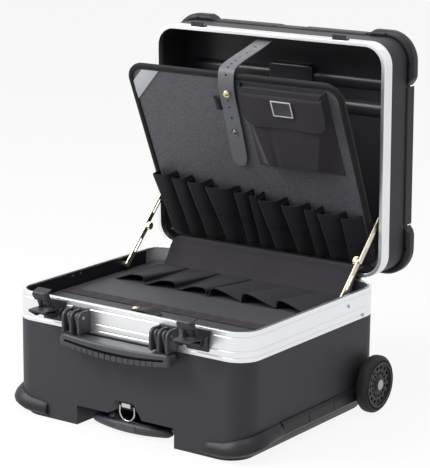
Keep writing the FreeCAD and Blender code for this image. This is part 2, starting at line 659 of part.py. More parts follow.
# Strips between the ears, the front and rear ones with a shallow dip in the middle
strip_reach = s.lid_bumper_reach + s.strip_joint
lid_side_strip = lid_strip("lid_side_strip", "XZ_Plane", half_width, half_depth - strip_reach)
lid_rear_strip = lid_strip("lid_rear_strip", "YZ_Plane", half_depth, half_width - strip_reach)
dip = sketch(lid_rear_strip, "XY_Plane", lid_top + s.overrun)
dip_outer = half_depth + s.lid_strip_proud
dip_run_half = s.strip_notch_half + s.strip_notch_run
polygon(dip, [(-s.strip_notch_half, dip_outer - s.strip_notch_depth),
              (s.strip_notch_half, dip_outer - s.strip_notch_depth), (dip_run_half, dip_outer),
              (dip_run_half, dip_outer + s.overrun), (-dip_run_half, dip_outer + s.overrun),
              (-dip_run_half, dip_outer)])
pocket(lid_rear_strip, dip, s.lid_strip_height + s.overrun * 2)
lid_strips = doc.addObject("Part::Compound", "lid_strips")
lid_strips.Links = [lid_side_strip, mirror_of("lid_side_strip_left", lid_side_strip), lid_rear_strip,
                    mirror_of("lid_front_strip", lid_rear_strip, Vector(0, 1, 0))]
part("lid_strips", lid_strips, LID_OPEN)

# Wheels: a rubber tyre on a moulded hub with two rings of holes, turning on a fixed axle
wheel_inner = half_width + s.wheel_stand
WHEEL = Placement(Vector(float(wheel_inner), float(wheel_place), float(s.wheel_radius)),
                  Rotation(Vector(0, 1, 0), 90))
tyre_inner = s.wheel_radius - s.tyre_depth
tyre = new_body("tyre")
tyre_face = sketch(tyre, "XZ_Plane")
polygon(tyre_face, [
    (tyre_inner, zero), (s.wheel_radius - s.tyre_round, zero), (s.wheel_radius, s.tyre_round),
    (s.wheel_radius, s.wheel_width - s.tyre_round), (s.wheel_radius - s.tyre_round, s.wheel_width),
    (tyre_inner, s.wheel_width)])
revolve(tyre, tyre_face)
tyre.Placement = WHEEL
left_and_right("tyre", tyre)

hub = new_body("hub")
hub_bore = s.axle_radius + s.fit_gap
web_high = s.wheel_width - s.web_set
web_low = web_high - s.web_thick
hub_high = s.wheel_width - s.hub_set
ring_inner = tyre_inner - s.hub_ring
hub_face = sketch(hub, "XZ_Plane")
polygon(hub_face, [
    (hub_bore, zero), (s.hub_radius, zero), (s.hub_radius, web_low), (ring_inner, web_low),
    (ring_inner, s.web_set), (tyre_inner, s.web_set), (tyre_inner, s.wheel_width),
    (ring_inner, s.wheel_width), (ring_inner, web_high), (s.hub_radius, web_high),
    (s.hub_radius, hub_high), (hub_bore, hub_high)])
revolve(hub, hub_face)
for ring_radius, hole_radius in ((s.outer_hole_ring, s.outer_hole_radius),
                                 (s.inner_hole_ring, s.inner_hole_radius)):
    hole = sketch(hub, "XY_Plane", web_low - s.overrun)
    circle(hole, ring_radius, zero, hole_radius)
    hole_cut = pocket(hub, hole, s.web_thick + s.overrun * 2, back=True)
    pattern_round(hub, hole_cut, WHEEL_HOLES)
hub.Placement = WHEEL
left_and_right("hub", hub)

# Axle: a stub bolt held in a round block on the side of the shell, with a cap nut outside the wheel
axle = new_body("axle")
nut_low = hub_high + s.seat_gap
nut_high = nut_low + s.nut_height
axle_face = sketch(axle, "XZ_Plane")
polygon(axle_face, [
    (zero, -s.wheel_stand), (s.axle_radius, -s.wheel_stand), (s.axle_radius, nut_low),
    (s.nut_radius, nut_low), (s.nut_radius, nut_low + s.nut_height / 2),
    (s.nut_radius - s.nut_height, nut_high), (zero, nut_high)])
revolve(axle, axle_face)
axle.Placement = WHEEL
pair("axles", axle)

axle_block = new_body("axle_block")
block_bore = s.axle_radius + s.fit_gap
block_face = sketch(axle_block, "XZ_Plane")
polygon(block_face, [
    (block_bore, -s.wheel_stand), (s.block_radius, -s.wheel_stand),
    (s.block_radius, -s.wheel_stand + s.block_foot), (s.hub_radius, -s.seat_gap), (block_bore, -s.seat_gap)])
revolve(axle_block, block_face)
axle_block.Placement = WHEEL
pair("axle_blocks", axle_block)

# Trolley: fixed outer tubes under the floor, then middle and inner tubes that slide out to the front
grip_front = -half_depth + s.grip_recess
grip_back = grip_front + s.grip_thick
tube_front = grip_back + s.tube_end_gap
tube_back = -half_depth + trough_length
tube_x = s.tube_spacing / 2


def tubes(name, radius, start, end):
    """A left and right tube along Y under the floor."""
    made = new_body(f"{name}_right")
    ring = sketch(made, "XZ_Plane", -start)
    circle(ring, tube_x, s.tube_axis_height, radius)
    circle(ring, tube_x, s.tube_axis_height, radius - s.tube_wall)
    pad(made, ring, end - start, back=True)
    return pair(name, made)


tube_step = s.tube_wall + s.seat_gap
inner_radius = s.tube_radius - tube_step * 2
tubes("trolley_outer_tubes", s.tube_radius, tube_front, tube_back)
tubes("trolley_middle_tubes", s.tube_radius - tube_step, tube_front, tube_back - s.tube_end_gap)
tubes("trolley_inner_tubes", inner_radius, grip_back, tube_back - s.tube_end_gap * 2)

# Tube clamps: two saddles that hold the outer tubes under the roof of the trough
clamps = new_body("tube_clamp")
clamp_half = s.tube_radius + s.trough_wall
clamp_face = sketch(clamps, "XZ_Plane", -tube_front - s.tube_end_gap)
rounded(clamp_face, tube_x - clamp_half, tube_x + clamp_half, s.cover_thick + s.seat_gap, s.trough_height,
        s.trough_wall / 2)
circle(clamp_face, tube_x, s.tube_axis_height, s.tube_radius + s.fit_gap)
pad(clamps, clamp_face, s.tube_radius * 2, back=True)
pair("tube_clamps", clamps)

# Grip: a bar bowed to the front, with a seat for the release button
grip = new_body("trolley_grip")
grip_plan = sketch(grip, "XY_Plane", s.grip_low)
bowed(grip_plan, s.grip_half, grip_front, s.grip_bow, s.grip_thick)
pad(grip, grip_plan, s.grip_height)
boss = sketch(grip, "XZ_Plane", -grip_front)
for side in (1, -1):
    circle(boss, tube_x * side, s.tube_axis_height, inner_radius)
pad(grip, boss, s.grip_thick, back=True)
button_half = s.button_width / 2
button_low = s.grip_low + s.grip_height / 2 - s.button_height / 2
button_high = button_low + s.button_height
seat = sketch(grip, "XZ_Plane", -grip_front + s.grip_bow + s.overrun)
box_outline(seat, -button_half - s.seat_gap, button_half + s.seat_gap, button_low - s.seat_gap,
            button_high + s.seat_gap)
pocket(grip, seat, s.overrun + s.button_thick + s.button_travel + s.seat_gap * 2)
part("trolley_grip", grip)

button = new_body("trolley_button")
button_face = sketch(button, "XZ_Plane", -grip_front + s.grip_bow - s.button_travel / 2)
box_outline(button_face, -button_half, button_half, button_low, button_high)
pad(button, button_face, s.button_thick - s.button_travel / 2, back=True)
part("trolley_button", button)

# Pull ring: a D of round wire that hangs in a sheet clip in the notch
ring_depth = -half_depth + s.ring_inset
ring_half = s.ring_width / 2 - s.ring_wire / 2
d_ring = new_body("d_ring")
path = sketch(d_ring, "XZ_Plane", -ring_depth)
leg_low = s.ring_pivot_height - s.ring_leg
polygon(path, [(-ring_half, leg_low), (-ring_half, s.ring_pivot_height), (ring_half, s.ring_pivot_height),
               (ring_half, leg_low)], closed=False)
path.addGeometry(Part.Arc(Vector(-float(ring_half), float(leg_low), 0), Vector(0, float(leg_low - ring_half), 0),
                          Vector(float(ring_half), float(leg_low), 0)), False)
path.addConstraint(Sketcher.Constraint("Coincident", 3, 1, 0, 1))
path.addConstraint(Sketcher.Constraint("Coincident", 3, 2, 2, 2))
hold(path, "DistanceY", (-1, 1, 3, 3), leg_low)
wire_end = sketch(d_ring, "YZ_Plane")
circle(wire_end, ring_depth, s.ring_pivot_height, s.ring_wire / 2)
sweep = d_ring.newObject("PartDesign::AdditivePipe", "Wire")
sweep.Profile = wire_end
sweep.Spine = path
sweep.Transition = "Round corner"
doc.recompute()
part("d_ring", d_ring)

clip = new_body("ring_clip")
clip_hole = s.ring_wire / 2 + s.fit_gap
clip_outer = clip_hole + s.clip_wall
clip_front = ring_depth - clip_outer
clip_neck = ring_depth + clip_outer
clip_back = -half_depth + s.notch_depth
clip_profile = sketch(clip, "YZ_Plane", -s.clip_width / 2)
polygon(clip_profile, [
    (clip_front, s.ring_pivot_height - clip_outer), (clip_neck, s.ring_pivot_height - clip_outer),
    (clip_back, s.ring_pivot_height - s.clip_wall), (clip_back, s.ring_pivot_height + s.clip_wall),
    (clip_neck, s.ring_pivot_height + clip_outer), (clip_front, s.ring_pivot_height + clip_outer)])
circle(clip_profile, ring_depth, s.ring_pivot_height, clip_hole)
pad(clip, clip_profile, s.clip_width)
part("ring_clip", clip)

# Carry handle: a broad bail with a finger groove and a row of grip blocks, hung between the latches
latch_place = half_width - s.latch_side
plate_half = s.latch_plate_width / 2
handle_axis_height = s.base_height - s.handle_axis_drop
handle_depth = -half_depth - s.handle_out
bail_half = latch_place - plate_half - s.latch_gap
bracket_place = bail_half - s.bail_end - s.fin_thick / 2 - s.fin_pitch
bar_top = handle_axis_height - s.handle_drop
bar_low = bar_top - s.bar_height
bar_front = handle_depth - s.bar_thick / 2
handle = new_body("carry_handle")
bar_face = sketch(handle, "XZ_Plane", -bar_front)
bow_box(bar_face, bail_half, bar_low, bar_top, s.bar_bow)
pad(handle, bar_face, s.bar_thick, back=True)
soften(handle, "Fillet", s.bar_corner, straight_along(Vector(0, 1, 0)))
soften(handle, "Fillet", s.bar_round,
       lambda edge: at_depth(bar_front)(edge) or at_depth(bar_front + s.bar_thick)(edge))
groove_low = bar_low + s.slot_rise
groove_half = bail_half - s.slot_end
groove = sketch(handle, "XZ_Plane", -bar_front + s.overrun)
rounded(groove, -groove_half, groove_half, groove_low, groove_low + s.slot_height, s.slot_height / 3)
pocket(handle, groove, s.overrun + s.slot_depth)
rib_pitch = groove_half * 2 / (HANDLE_GROOVES + 1)
rib_start = -rib_pitch * (HANDLE_GROOVES - 1) / 2 - s.rib_gap / 2
rib_line = sketch(handle, "XZ_Plane", -bar_front + s.overrun)
box_outline(rib_line, rib_start, rib_start + s.rib_gap, bar_low - s.bar_bow - s.overrun, groove_low)
rib_cut = pocket(handle, rib_line, s.overrun + s.rib_depth)
pattern_line(handle, rib_cut, "X_Axis", rib_pitch, HANDLE_GROOVES)
arm_width = s.fin_pitch - s.fin_thick - s.seat_gap * 2
for side in (1, -1):
    for step in (1, -1):
        arm_middle = (bracket_place + s.fin_pitch / 2 * step) * side
        arm = sketch(handle, "YZ_Plane", arm_middle - arm_width / 2)
        rounded(arm, handle_depth - s.arm_round, handle_depth + s.arm_round, bar_top - s.arm_root,
                handle_axis_height + s.arm_round, s.arm_corner)
        pad(handle, arm, arm_width)
pin_hole = sketch(handle, "YZ_Plane", -half_width)
circle(pin_hole, handle_depth, handle_axis_height, s.pin_radius + s.fit_gap)
pocket(handle, pin_hole, s.case_width, back=True)
part("carry_handle", handle)

# Handle brackets: a plate on the rim with three arched fins, which hold the pin between them
bracket = new_body("handle_bracket")
fin_low = bar_top + s.fin_lift
fin_high = handle_axis_height + s.fin_rise
fin_tip = handle_depth - s.fin_reach
fin_root = -half_depth - s.fin_plate / 2
bracket_half = s.fin_pitch + s.fin_thick / 2
bracket_plate = sketch(bracket, "XZ_Plane", half_depth)
rounded(bracket_plate, bracket_place - bracket_half, bracket_place + bracket_half, fin_low - s.fin_plate,
        fin_high, s.fin_plate / 2)
pad(bracket, bracket_plate, s.fin_plate)
for step in (-1, 0, 1):
    fin = sketch(bracket, "YZ_Plane", bracket_place + s.fin_pitch * step - s.fin_thick / 2)
    polygon(fin, [
        (fin_root, fin_low), (fin_tip + s.fin_arch, fin_low), (fin_tip, fin_low + s.fin_arch),
        (fin_tip, fin_high - s.fin_arch * 2), (fin_tip + s.fin_arch / 2, fin_high - s.fin_arch),
        (fin_tip + s.fin_arch * 2, fin_high), (fin_root, fin_high)])
    pad(bracket, fin, s.fin_thick)
pin_start = bracket_place - bracket_half
pin_bore = sketch(bracket, "YZ_Plane", pin_start - s.overrun)
circle(pin_bore, handle_depth, handle_axis_height, s.pin_radius)
pocket(bracket, pin_bore, bracket_half * 2 + s.overrun * 2, back=True)
pair("handle_brackets", bracket)
handle_pin = new_body("handle_pin")
pin_face = sketch(handle_pin, "YZ_Plane", pin_start)
circle(pin_face, handle_depth, handle_axis_height, s.pin_radius)
pad(handle_pin, pin_face, bracket_half * 2)
pair("handle_pins", handle_pin)

# Latch plate: a sheet on the rim with two ears and the pin of the lever
axis_depth = -half_depth - s.latch_axis_out
axis_height = s.base_height - s.latch_axis_drop
plate = new_body("latch_plate")
plate_face = sketch(plate, "XZ_Plane", half_depth)
plate_low = axis_height - s.latch_plate_low
plate_high = plate_low + s.latch_plate_height
foot_half = plate_half - s.latch_plate_taper
polygon(plate_face, [(latch_place - foot_half, plate_low), (latch_place + foot_half, plate_low),
                     (latch_place + plate_half, plate_high), (latch_place - plate_half, plate_high)])
pad(plate, plate_face, s.latch_plate_thick)
ear_back = -half_depth - s.latch_plate_thick / 2
for side in (1, -1):
    ear = sketch(plate, "YZ_Plane", latch_place + s.ear_inner * side)
    polygon(ear, [(ear_back, axis_height - s.ear_root), (axis_depth, axis_height - s.ear_reach),
                  (axis_depth - s.ear_nose, axis_height), (axis_depth, axis_height + s.ear_reach),
                  (ear_back, axis_height + s.ear_root)])
    pad(plate, ear, s.ear_thick, back=side < 0)
latch_pin = sketch(plate, "YZ_Plane", latch_place - s.ear_inner - s.ear_thick / 2)
circle(latch_pin, axis_depth, axis_height, s.latch_pin)
pad(plate, latch_pin, s.ear_inner * 2 + s.ear_thick)
left_and_right("latch_plate", plate)

# Latch lever: two cheeks joined by a thumb plate, turning on the pin of the latch plate
lever = new_body("latch_lever")
lever_low = axis_height + s.lever_rise
lever_top = lever_low + s.lever_thick
hook_depth = axis_depth - s.hook_out
hook_axis_height = axis_height + s.hook_up
lever_tip = axis_depth - s.lever_reach
cheek_back = axis_depth + s.latch_pin * 2
cheek_low = axis_height - s.latch_pin * 2
roof_back = hook_depth - s.lever_open
cheek_points = [(cheek_back, cheek_low), (axis_depth - s.lever_reach / 2, cheek_low), (lever_tip, lever_low),
                (lever_tip, lever_top), (hook_depth, lever_top), (cheek_back, lever_low)]
right_cheek = sketch(lever, "YZ_Plane", latch_place + s.lever_half)
polygon(right_cheek, cheek_points)
pad(lever, right_cheek, s.lever_cheek, back=True)
lever_roof = sketch(lever, "YZ_Plane", latch_place - s.lever_half)
box_outline(lever_roof, lever_tip, roof_back, lever_low, lever_top)
pad(lever, lever_roof, s.lever_half * 2)
left_cheek = sketch(lever, "YZ_Plane", latch_place - s.lever_half)
polygon(left_cheek, cheek_points)
pad(lever, left_cheek, s.lever_cheek)
for hole_depth, hole_height, hole_radius in ((axis_depth, axis_height, s.latch_pin),
                                             (hook_depth, hook_axis_height, s.hook_pin)):
    bore = sketch(lever, "YZ_Plane", latch_place - s.lever_half - s.overrun)
    circle(bore, hole_depth, hole_height, hole_radius + s.fit_gap)
    pocket(lever, bore, s.lever_half * 2 + s.overrun * 2, back=True)
left_and_right("latch_lever", lever)

# Latch hook: two arms with a bent tip for the catch and a domed cap outside, drawn upright and tilted open
hook = new_body("latch_hook")
hook_half = s.lever_half - s.lever_cheek - s.seat_gap
hook_top = hook_axis_height + s.hook_height
hook_low = hook_axis_height - s.hook_thick / 2
hook_front = hook_depth - s.hook_thick / 2
hook_back = hook_depth + s.hook_thick / 2
tip_low = hook_top - s.hook_tip_thick
hook_profile = sketch(hook, "YZ_Plane", latch_place - hook_half)
polygon(hook_profile, [
    (hook_front, hook_low), (hook_back, hook_low), (hook_back, tip_low), (hook_back + s.hook_tip, tip_low),
    (hook_back + s.hook_tip, tip_low + s.hook_tip_thick / 2), (hook_back, hook_top), (hook_front, hook_top)])
pad(hook, hook_profile, hook_half * 2)
window = sketch(hook, "XZ_Plane", -hook_front + s.overrun)
window_half = hook_half - s.hook_arm
rounded(window, latch_place - window_half, latch_place + window_half, hook_axis_height + s.hook_thick,
        hook_top - s.cap_drop, s.hook_thick / 2)
pocket(hook, window, s.hook_thick + s.overrun * 2)
cap = sketch(hook, "XZ_Plane", -hook_front)
rounded(cap, latch_place - s.cap_half, latch_place + s.cap_half, hook_top - s.cap_drop, hook_top + s.cap_rise,
        s.cap_corner)
pad(hook, cap, s.cap_thick)
soften(hook, "Fillet", s.cap_round, at_depth(hook_front - s.cap_thick))
hook_pin = sketch(hook, "YZ_Plane", latch_place - s.lever_half)
circle(hook_pin, hook_depth, hook_axis_height, s.hook_pin)
pad(hook, hook_pin, s.lever_half * 2)
hook.Placement = Placement(Vector(), Rotation(Vector(1, 0, 0), float(s.hook_tilt)),
                           Vector(0, float(hook_depth), float(hook_axis_height)))
left_and_right("latch_hook", hook)

# Catches on the lid's rim, which the hooks reach over when the lid is shut
catch = new_body("lid_catch")
catch_low = lid_low + s.catch_rise
catch_high = catch_low + s.catch_thick
catch_end = lid_low + s.catch_top
catch_profile = sketch(catch, "YZ_Plane", latch_place - s.catch_width / 2)
polygon(catch_profile, [
    (-half_depth, catch_low), (-half_depth - s.catch_out, catch_low), (-half_depth - s.catch_out, catch_high),
    (-half_depth - s.catch_thick, catch_high), (-half_depth - s.catch_edge, catch_end),
    (-half_depth, catch_end)])
pad(catch, catch_profile, s.catch_width)
pair("lid_catches", catch, LID_OPEN)

# Rear hinge: knuckles of the two leaves in turn along one pin
leaf_half = half_width - s.hinge_end
knuckle_length = leaf_half * 2 / KNUCKLES


def hinge_leaf(name, first, low, high, bore_gap, place=None):
    """A leaf on the outside of a rim, with every other knuckle round the pin and a link to each."""
    made = new_body(name)
    leaf_face = sketch(made, "XZ_Plane", -half_depth)
    box_outline(leaf_face, -leaf_half, leaf_half, low, high)
    pad(made, leaf_face, s.leaf_thick, back=True)
    start = -leaf_half + knuckle_length * first
    near = half_depth + s.leaf_thick / 2
    rise = s.knuckle_radius if first else -s.knuckle_radius
    link = sketch(made, "YZ_Plane", start)
    polygon(link, [(near, hinge_height + rise / 2), (hinge_depth, hinge_height + rise / 4),
                   (hinge_depth, hinge_height + rise), (near, hinge_height + rise * 2)])
    link_row = pad(made, link, knuckle_length - s.seat_gap)
    pattern_line(made, link_row, "X_Axis", knuckle_length * 2, KNUCKLES // 2)
    knuckle = sketch(made, "YZ_Plane", start)
    circle(knuckle, hinge_depth, hinge_height, s.knuckle_radius)
    row = pad(made, knuckle, knuckle_length - s.seat_gap)
    pattern_line(made, row, "X_Axis", knuckle_length * 2, KNUCKLES // 2)
    pin_bore = sketch(made, "YZ_Plane", -leaf_half - s.overrun)
    circle(pin_bore, hinge_depth, hinge_height, s.hinge_pin + bore_gap)
    pocket(made, pin_bore, leaf_half * 2 + s.overrun * 2, back=True)
    return part(name, made, place)


hinge_leaf("hinge_leaf_base", 0, s.base_height - s.leaf_height, s.base_height - s.knuckle_radius, zero)
hinge_leaf("hinge_leaf_lid", 1, lid_low + s.knuckle_radius, lid_low + s.leaf_height, s.fit_gap, LID_OPEN)
hinge_pin = new_body("hinge_pin")
pin_end = sketch(hinge_pin, "YZ_Plane", -leaf_half)
circle(pin_end, hinge_depth, hinge_height, s.hinge_pin)
pad(hinge_pin, pin_end, leaf_half * 2)
part("hinge_pin", hinge_pin)


def along_stay(x, start, end):
    """A frame at a pivot whose X runs along the stay to its other end and whose Z is the case's X."""
    direction = (end - start).normalize()
    across = Vector(0, -direction.z, direction.y)
    return Placement(start + Vector(float(x), 0, 0), Rotation(direction, across, Vector(1, 0, 0)))


def stay_link(name, place):
    """A flat link with round ends, a hole at its post and a slot along its middle."""
    width, thick = float(s.stay_width), float(s.stay_thick)
    made = Part.makeBox(stay_reach, width, thick, Vector(0, -width / 2, 0))
    for x in (0, stay_reach):
        made = made.fuse(Part.makeCylinder(width / 2, thick, Vector(x, 0, 0)))
    made = made.cut(Part.makeCylinder(float(s.stay_pin + s.fit_gap), thick))
    slot_length, slot_width = float(s.stay_slot_length), float(s.stay_slot_width)
    slot_start = Vector(stay_reach / 2 - slot_length / 2, -slot_width / 2, 0)
    made = made.cut(Part.makeBox(slot_length, slot_width, thick, slot_start))
    piece = doc.addObject("Part::Feature", name)
    piece.Shape = made
    piece.Placement = place
    return piece


# Folding stays: a lower and an upper link a side. The lower one carries the elbow pin, and a knob turns on it.
lower_link = stay_link("stay_lower_right", along_stay(lower_plane, stay_base, stay_lid))
elbow_pin = Part.makeCylinder(float(s.stay_pin), float(s.knob_height),
                              Vector(stay_reach, 0, -float(s.knob_height)))
elbow_pin.Placement = lower_link.Placement
lower_link.Shape = lower_link.Shape.fuse(elbow_pin).removeSplitter()
left_and_right("stay_lower", lower_link)
left_and_right("stay_upper", stay_link("stay_upper_right", along_stay(upper_plane, stay_lid, stay_base)))
knob = new_body("stay_knob")
knob_face = sketch(knob, "XY_Plane")
circle(knob_face, zero, zero, s.knob_radius)
circle(knob_face, zero, zero, s.stay_pin + s.fit_gap)
pad(knob, knob_face, s.knob_height - s.seat_gap)
flute = sketch(knob, "XY_Plane", -s.overrun)
circle(flute, s.knob_radius, zero, s.flute_radius)
flute_cut = pocket(knob, flute, s.knob_height + s.overrun * 2, back=True)
pattern_round(knob, flute_cut, KNOB_FLUTES)
knob.Placement = Placement(elbow_open + Vector(float(lower_plane - s.knob_height), 0, 0),
                           Rotation(Vector(0, 1, 0), 90))
left_and_right("stay_knob", knob)


def stay_post(name, plane, depth, height, place=None):
    """A stepped post on the inside of a rim: a foot outside the link and a pin through it."""
    made = new_body(name)
    pin = sketch(made, "YZ_Plane", plane - s.seat_gap)
    circle(pin, depth, height, s.stay_pin)
    pad(made, pin, rim_inside - plane + s.seat_gap)
    foot = sketch(made, "YZ_Plane", plane + s.stay_thick + s.seat_gap)
    circle(foot, depth, height, s.post_radius)
    pad(made, foot, rim_inside - plane - s.stay_thick - s.seat_gap)
    return pair(name, made, place)


stay_post("stay_posts_base", lower_plane, stay_base_depth, stay_base_height)
stay_post("stay_posts_lid", upper_plane, stay_lid_depth, stay_lid_height)

# Side plates inside the base rim, with a hole for the foot of each stay, and a foot for the tool panel
panel_low = shell_top + s.lip_height + s.plate_thick
panel_top = panel_low + s.panel_thick
panel_half = half_width - s.flange_width - s.panel_side_gap
plate_outer = rim_inside - s.seat_gap
plate_inner = plate_outer - s.plate_thick
foot_inner = panel_half - s.panel_thick
plate_start = half_depth - s.plate_front
side_plate = new_body("side_plate")
plate_profile = sketch(side_plate, "XZ_Plane", plate_start)
polygon(plate_profile, [
    (foot_inner, panel_low - s.plate_thick), (plate_outer, panel_low - s.plate_thick),
    (plate_outer, panel_low + s.plate_height), (plate_inner, panel_low + s.plate_height),
    (plate_inner, panel_low), (foot_inner, panel_low)])
pad(side_plate, plate_profile, plate_start + half_depth - s.corner_radius, back=True)
post_hole = sketch(side_plate, "YZ_Plane", plate_inner - s.overrun)
circle(post_hole, stay_base_depth, stay_base_height, s.post_radius + s.seat_gap)
pocket(side_plate, post_hole, s.plate_thick + s.overrun * 2, back=True)
pair("side_plates", side_plate)

# Tool panel that rests on the feet of the side plates, with a sewn band, a tab and a row of pockets
panel_front = -half_depth + s.flange_width + s.panel_front_gap
panel_back = half_depth - s.gusset_front - s.gusset_thick - s.seat_gap
panel = new_body("base_panel")
panel_plan = sketch(panel, "XY_Plane", panel_low)
rounded(panel_plan, -panel_half, panel_half, panel_front, panel_back, s.corner_radius - s.flange_width)
pad(panel, panel_plan, s.panel_thick)
part("base_panel", panel)
band = new_body("panel_band")
band_half = panel_half - s.binding_width
band_middle = panel_front + s.band_set
band_plan = sketch(band, "XY_Plane", panel_top)
box_outline(band_plan, -band_half, band_half, band_middle - s.band_width / 2, band_middle + s.band_width / 2)
pad(band, band_plan, s.band_thick)
part("panel_band", band)
tab = new_body("panel_tab")
tab_middle = panel_front + s.tab_set
tab_plan = sketch(tab, "XY_Plane", panel_top)
rounded(tab_plan, -s.tab_place - s.tab_length / 2, -s.tab_place + s.tab_length / 2,
        tab_middle - s.tab_width / 2, tab_middle + s.tab_width / 2, s.tab_corner)
pad(tab, tab_plan, s.tab_thick)
part("panel_tab", tab)


def pocket_row(made, face, toe_depth, mouth_depth, half, width_shares, toe, swell, fold_shares):
    """Sewn tool pockets on a backing sheet: each a fold that is flat at its toe and swollen at its mouth."""
    backing = sketch(made, "XY_Plane", face)
    box_outline(backing, -half, half, mouth_depth, toe_depth)
    pad(made, backing, s.pocket_sheet, back=float(swell) < 0)
    start = -half
    for width_share in width_shares:
        width = half * 2 * width_share
        sections = []
        for depth, rise in ((toe_depth, toe), (mouth_depth, swell)):
            section = sketch(made, "XZ_Plane", -depth)
            polygon(section, [(start + width * across, face + rise * up) for across, up in fold_shares])
            sections.append(section)
        loft(made, *sections)
        start = start + width
    return made


# Pockets on the panel: folds that rise slowly to the right and drop off
base_pockets = new_body("base_pockets")
base_toe = panel_back - s.base_pocket_back
base_fold_shares = ((0.02, 0), (0.03, 0.12), (0.3, 0.62), (0.62, 0.96), (0.8, 1), (0.93, 0.7), (0.97, 0))
pocket_row(base_pockets, panel_top, base_toe, base_toe - s.base_pocket_length, panel_half - s.base_pocket_side,
           BASE_POCKET_SHARES, s.base_pocket_toe, s.base_pocket_swell, base_fold_shares)
part("base_pockets", base_pockets)

# Pallet in the lid: a stiff bound board on two pivot pins, leaning out of the open lid
pivot_depth = half_depth - s.pallet_pivot
pivot_height = lid_low + s.pallet_depth
PALLET = LID_OPEN * Placement(Vector(), Rotation(Vector(1, 0, 0), float(s.pallet_tilt)),
                              Vector(0, float(pivot_depth), float(pivot_height)))
pallet_half = half_width - s.pallet_side_gap
pallet_face = pivot_height - s.pallet_thick / 2
board_back = pivot_depth + s.pallet_pin * 2
board_front = -half_depth + s.pallet_front_gap
board = new_body("pallet_board")
board_plan = sketch(board, "XY_Plane", pallet_face)
box_outline(board_plan, -pallet_half, pallet_half, board_front, board_back)
pad(board, board_plan, s.pallet_thick)
soften(board, "Fillet", s.pallet_corner,
       lambda edge: straight_along(Vector(0, 0, 1))(edge) and edge.BoundBox.YMax < 0)
pivot_bore = sketch(board, "YZ_Plane", -pallet_half - s.overrun)
circle(pivot_bore, pivot_depth, pivot_height, s.pallet_pin / 2 + s.fit_gap)
pocket(board, pivot_bore, pallet_half * 2 + s.overrun * 2, back=True)
part("pallet_board", board, PALLET)
pivots = new_body("pallet_pivot")
pivot_inner = pallet_half + s.seat_gap * 2
pivot_boss = sketch(pivots, "YZ_Plane", pivot_inner)
circle(pivot_boss, pivot_depth, pivot_height, s.pallet_pin)
pad(pivots, pivot_boss, s.pivot_boss)
pivot_pin = sketch(pivots, "YZ_Plane", pivot_inner)
circle(pivot_pin, pivot_depth, pivot_height, s.pallet_pin / 2)
pad(pivots, pivot_pin, s.pivot_boss + s.pallet_pin, back=True)
pair("pallet_pivots", pivots, LID_OPEN)

binding = new_body("pallet_binding")
binding_face = sketch(binding, "XY_Plane", pallet_face)
rounded(binding_face, -pallet_half, pallet_half, board_front, board_back, s.pallet_corner)
inner_half = pallet_half - s.binding_width
rounded(binding_face, -inner_half, inner_half, board_front + s.binding_width, board_back - s.binding_width,
        s.pallet_corner - s.binding_width)
pad(binding, binding_face, s.binding_thick, back=True)
part("pallet_binding", binding, PALLET)

# Pockets on the pallet: folds of uneven width that stand up steeply on their left
pallet_pockets = new_body("pallet_pockets")
pocket_toe_depth = board_back - s.pocket_low - s.binding_width - s.seat_gap
pallet_fold_shares = ((0.01, 0), (0.03, 0.8), (0.1, 1), (0.62, 0.86), (0.9, 0.3), (0.98, 0.1), (0.98, 0))
pocket_row(pallet_pockets, pallet_face, pocket_toe_depth, pocket_toe_depth - s.pocket_height,
           pallet_half - s.pocket_margin, PALLET_POCKET_SHARES, -s.pocket_toe, -s.pocket_swell,
           pallet_fold_shares)
part("pallet_pockets", pallet_pockets, PALLET)

# Flap pocket beside the strap: a bellows pocket with a flap over its mouth
flap_left = -s.strap_place + s.strap_width / 2 + s.flap_gap
flap_right = pallet_half - s.flap_side
flap_back = board_back - s.flap_low
flap_front = flap_back - s.flap_height
flap_face = pallet_face - s.flap_pocket_thick
flap_pocket = new_body("flap_pocket")
pocket_foot = sketch(flap_pocket, "XY_Plane", pallet_face)
rounded(pocket_foot, flap_left, flap_right, flap_front, flap_back, s.flap_pocket_thick)
pocket_face = sketch(flap_pocket, "XY_Plane", flap_face)
rounded(pocket_face, flap_left + s.flap_inset, flap_right - s.flap_inset, flap_front + s.flap_inset,
        flap_back - s.flap_inset, s.flap_pocket_thick)
loft(flap_pocket, pocket_foot, pocket_face)
part("flap_pocket", flap_pocket, PALLET)
flap = new_body("pocket_flap")
flap_plan = sketch(flap, "XY_Plane", flap_face)
rounded(flap_plan, flap_left + s.flap_inset, flap_right - s.flap_inset, flap_front + s.flap_inset,
        flap_front + s.flap_drop, s.flap_thick)
pad(flap, flap_plan, s.flap_thick, back=True)
part("pocket_flap", flap, PALLET)

# Bare patch across the upper left corner of the pallet
patch = new_body("corner_patch")
patch_left = -inner_half + s.seat_gap
patch_front = board_front + s.binding_width + s.seat_gap
patch_corner = s.pallet_corner - s.binding_width
patch_plan = sketch(patch, "XY_Plane", pallet_face)
polygon(patch_plan, [
    (patch_left, patch_front + patch_corner), (patch_left + patch_corner, patch_front),
    (patch_left + s.patch_side, patch_front), (patch_left, patch_front + s.patch_side)])
pad(patch, patch_plan, s.patch_thick, back=True)
part("corner_patch", patch, PALLET)


def ribbon(name, route, thick, half, middle):
    """A band of cloth of even thickness along a route in the YZ plane."""
    edges = []
    for index, spot in enumerate(route):
        before = route[max(index - 1, 0)]
        after = route[min(index + 1, len(route) - 1)]
        run = (after - before).normalize()
        edges.append(spot + Vector(0, -run.z, run.y) * float(thick))
    outline = Part.makePolygon(route + edges[::-1] + route[:1])
    piece = doc.addObject("Part::Feature", name)
    piece.Shape = Part.Face(outline).extrude(Vector(float(half) * 2, 0, 0))
    return part(name, piece, Placement(Vector(float(middle - half), 0, 0), Rotation()))


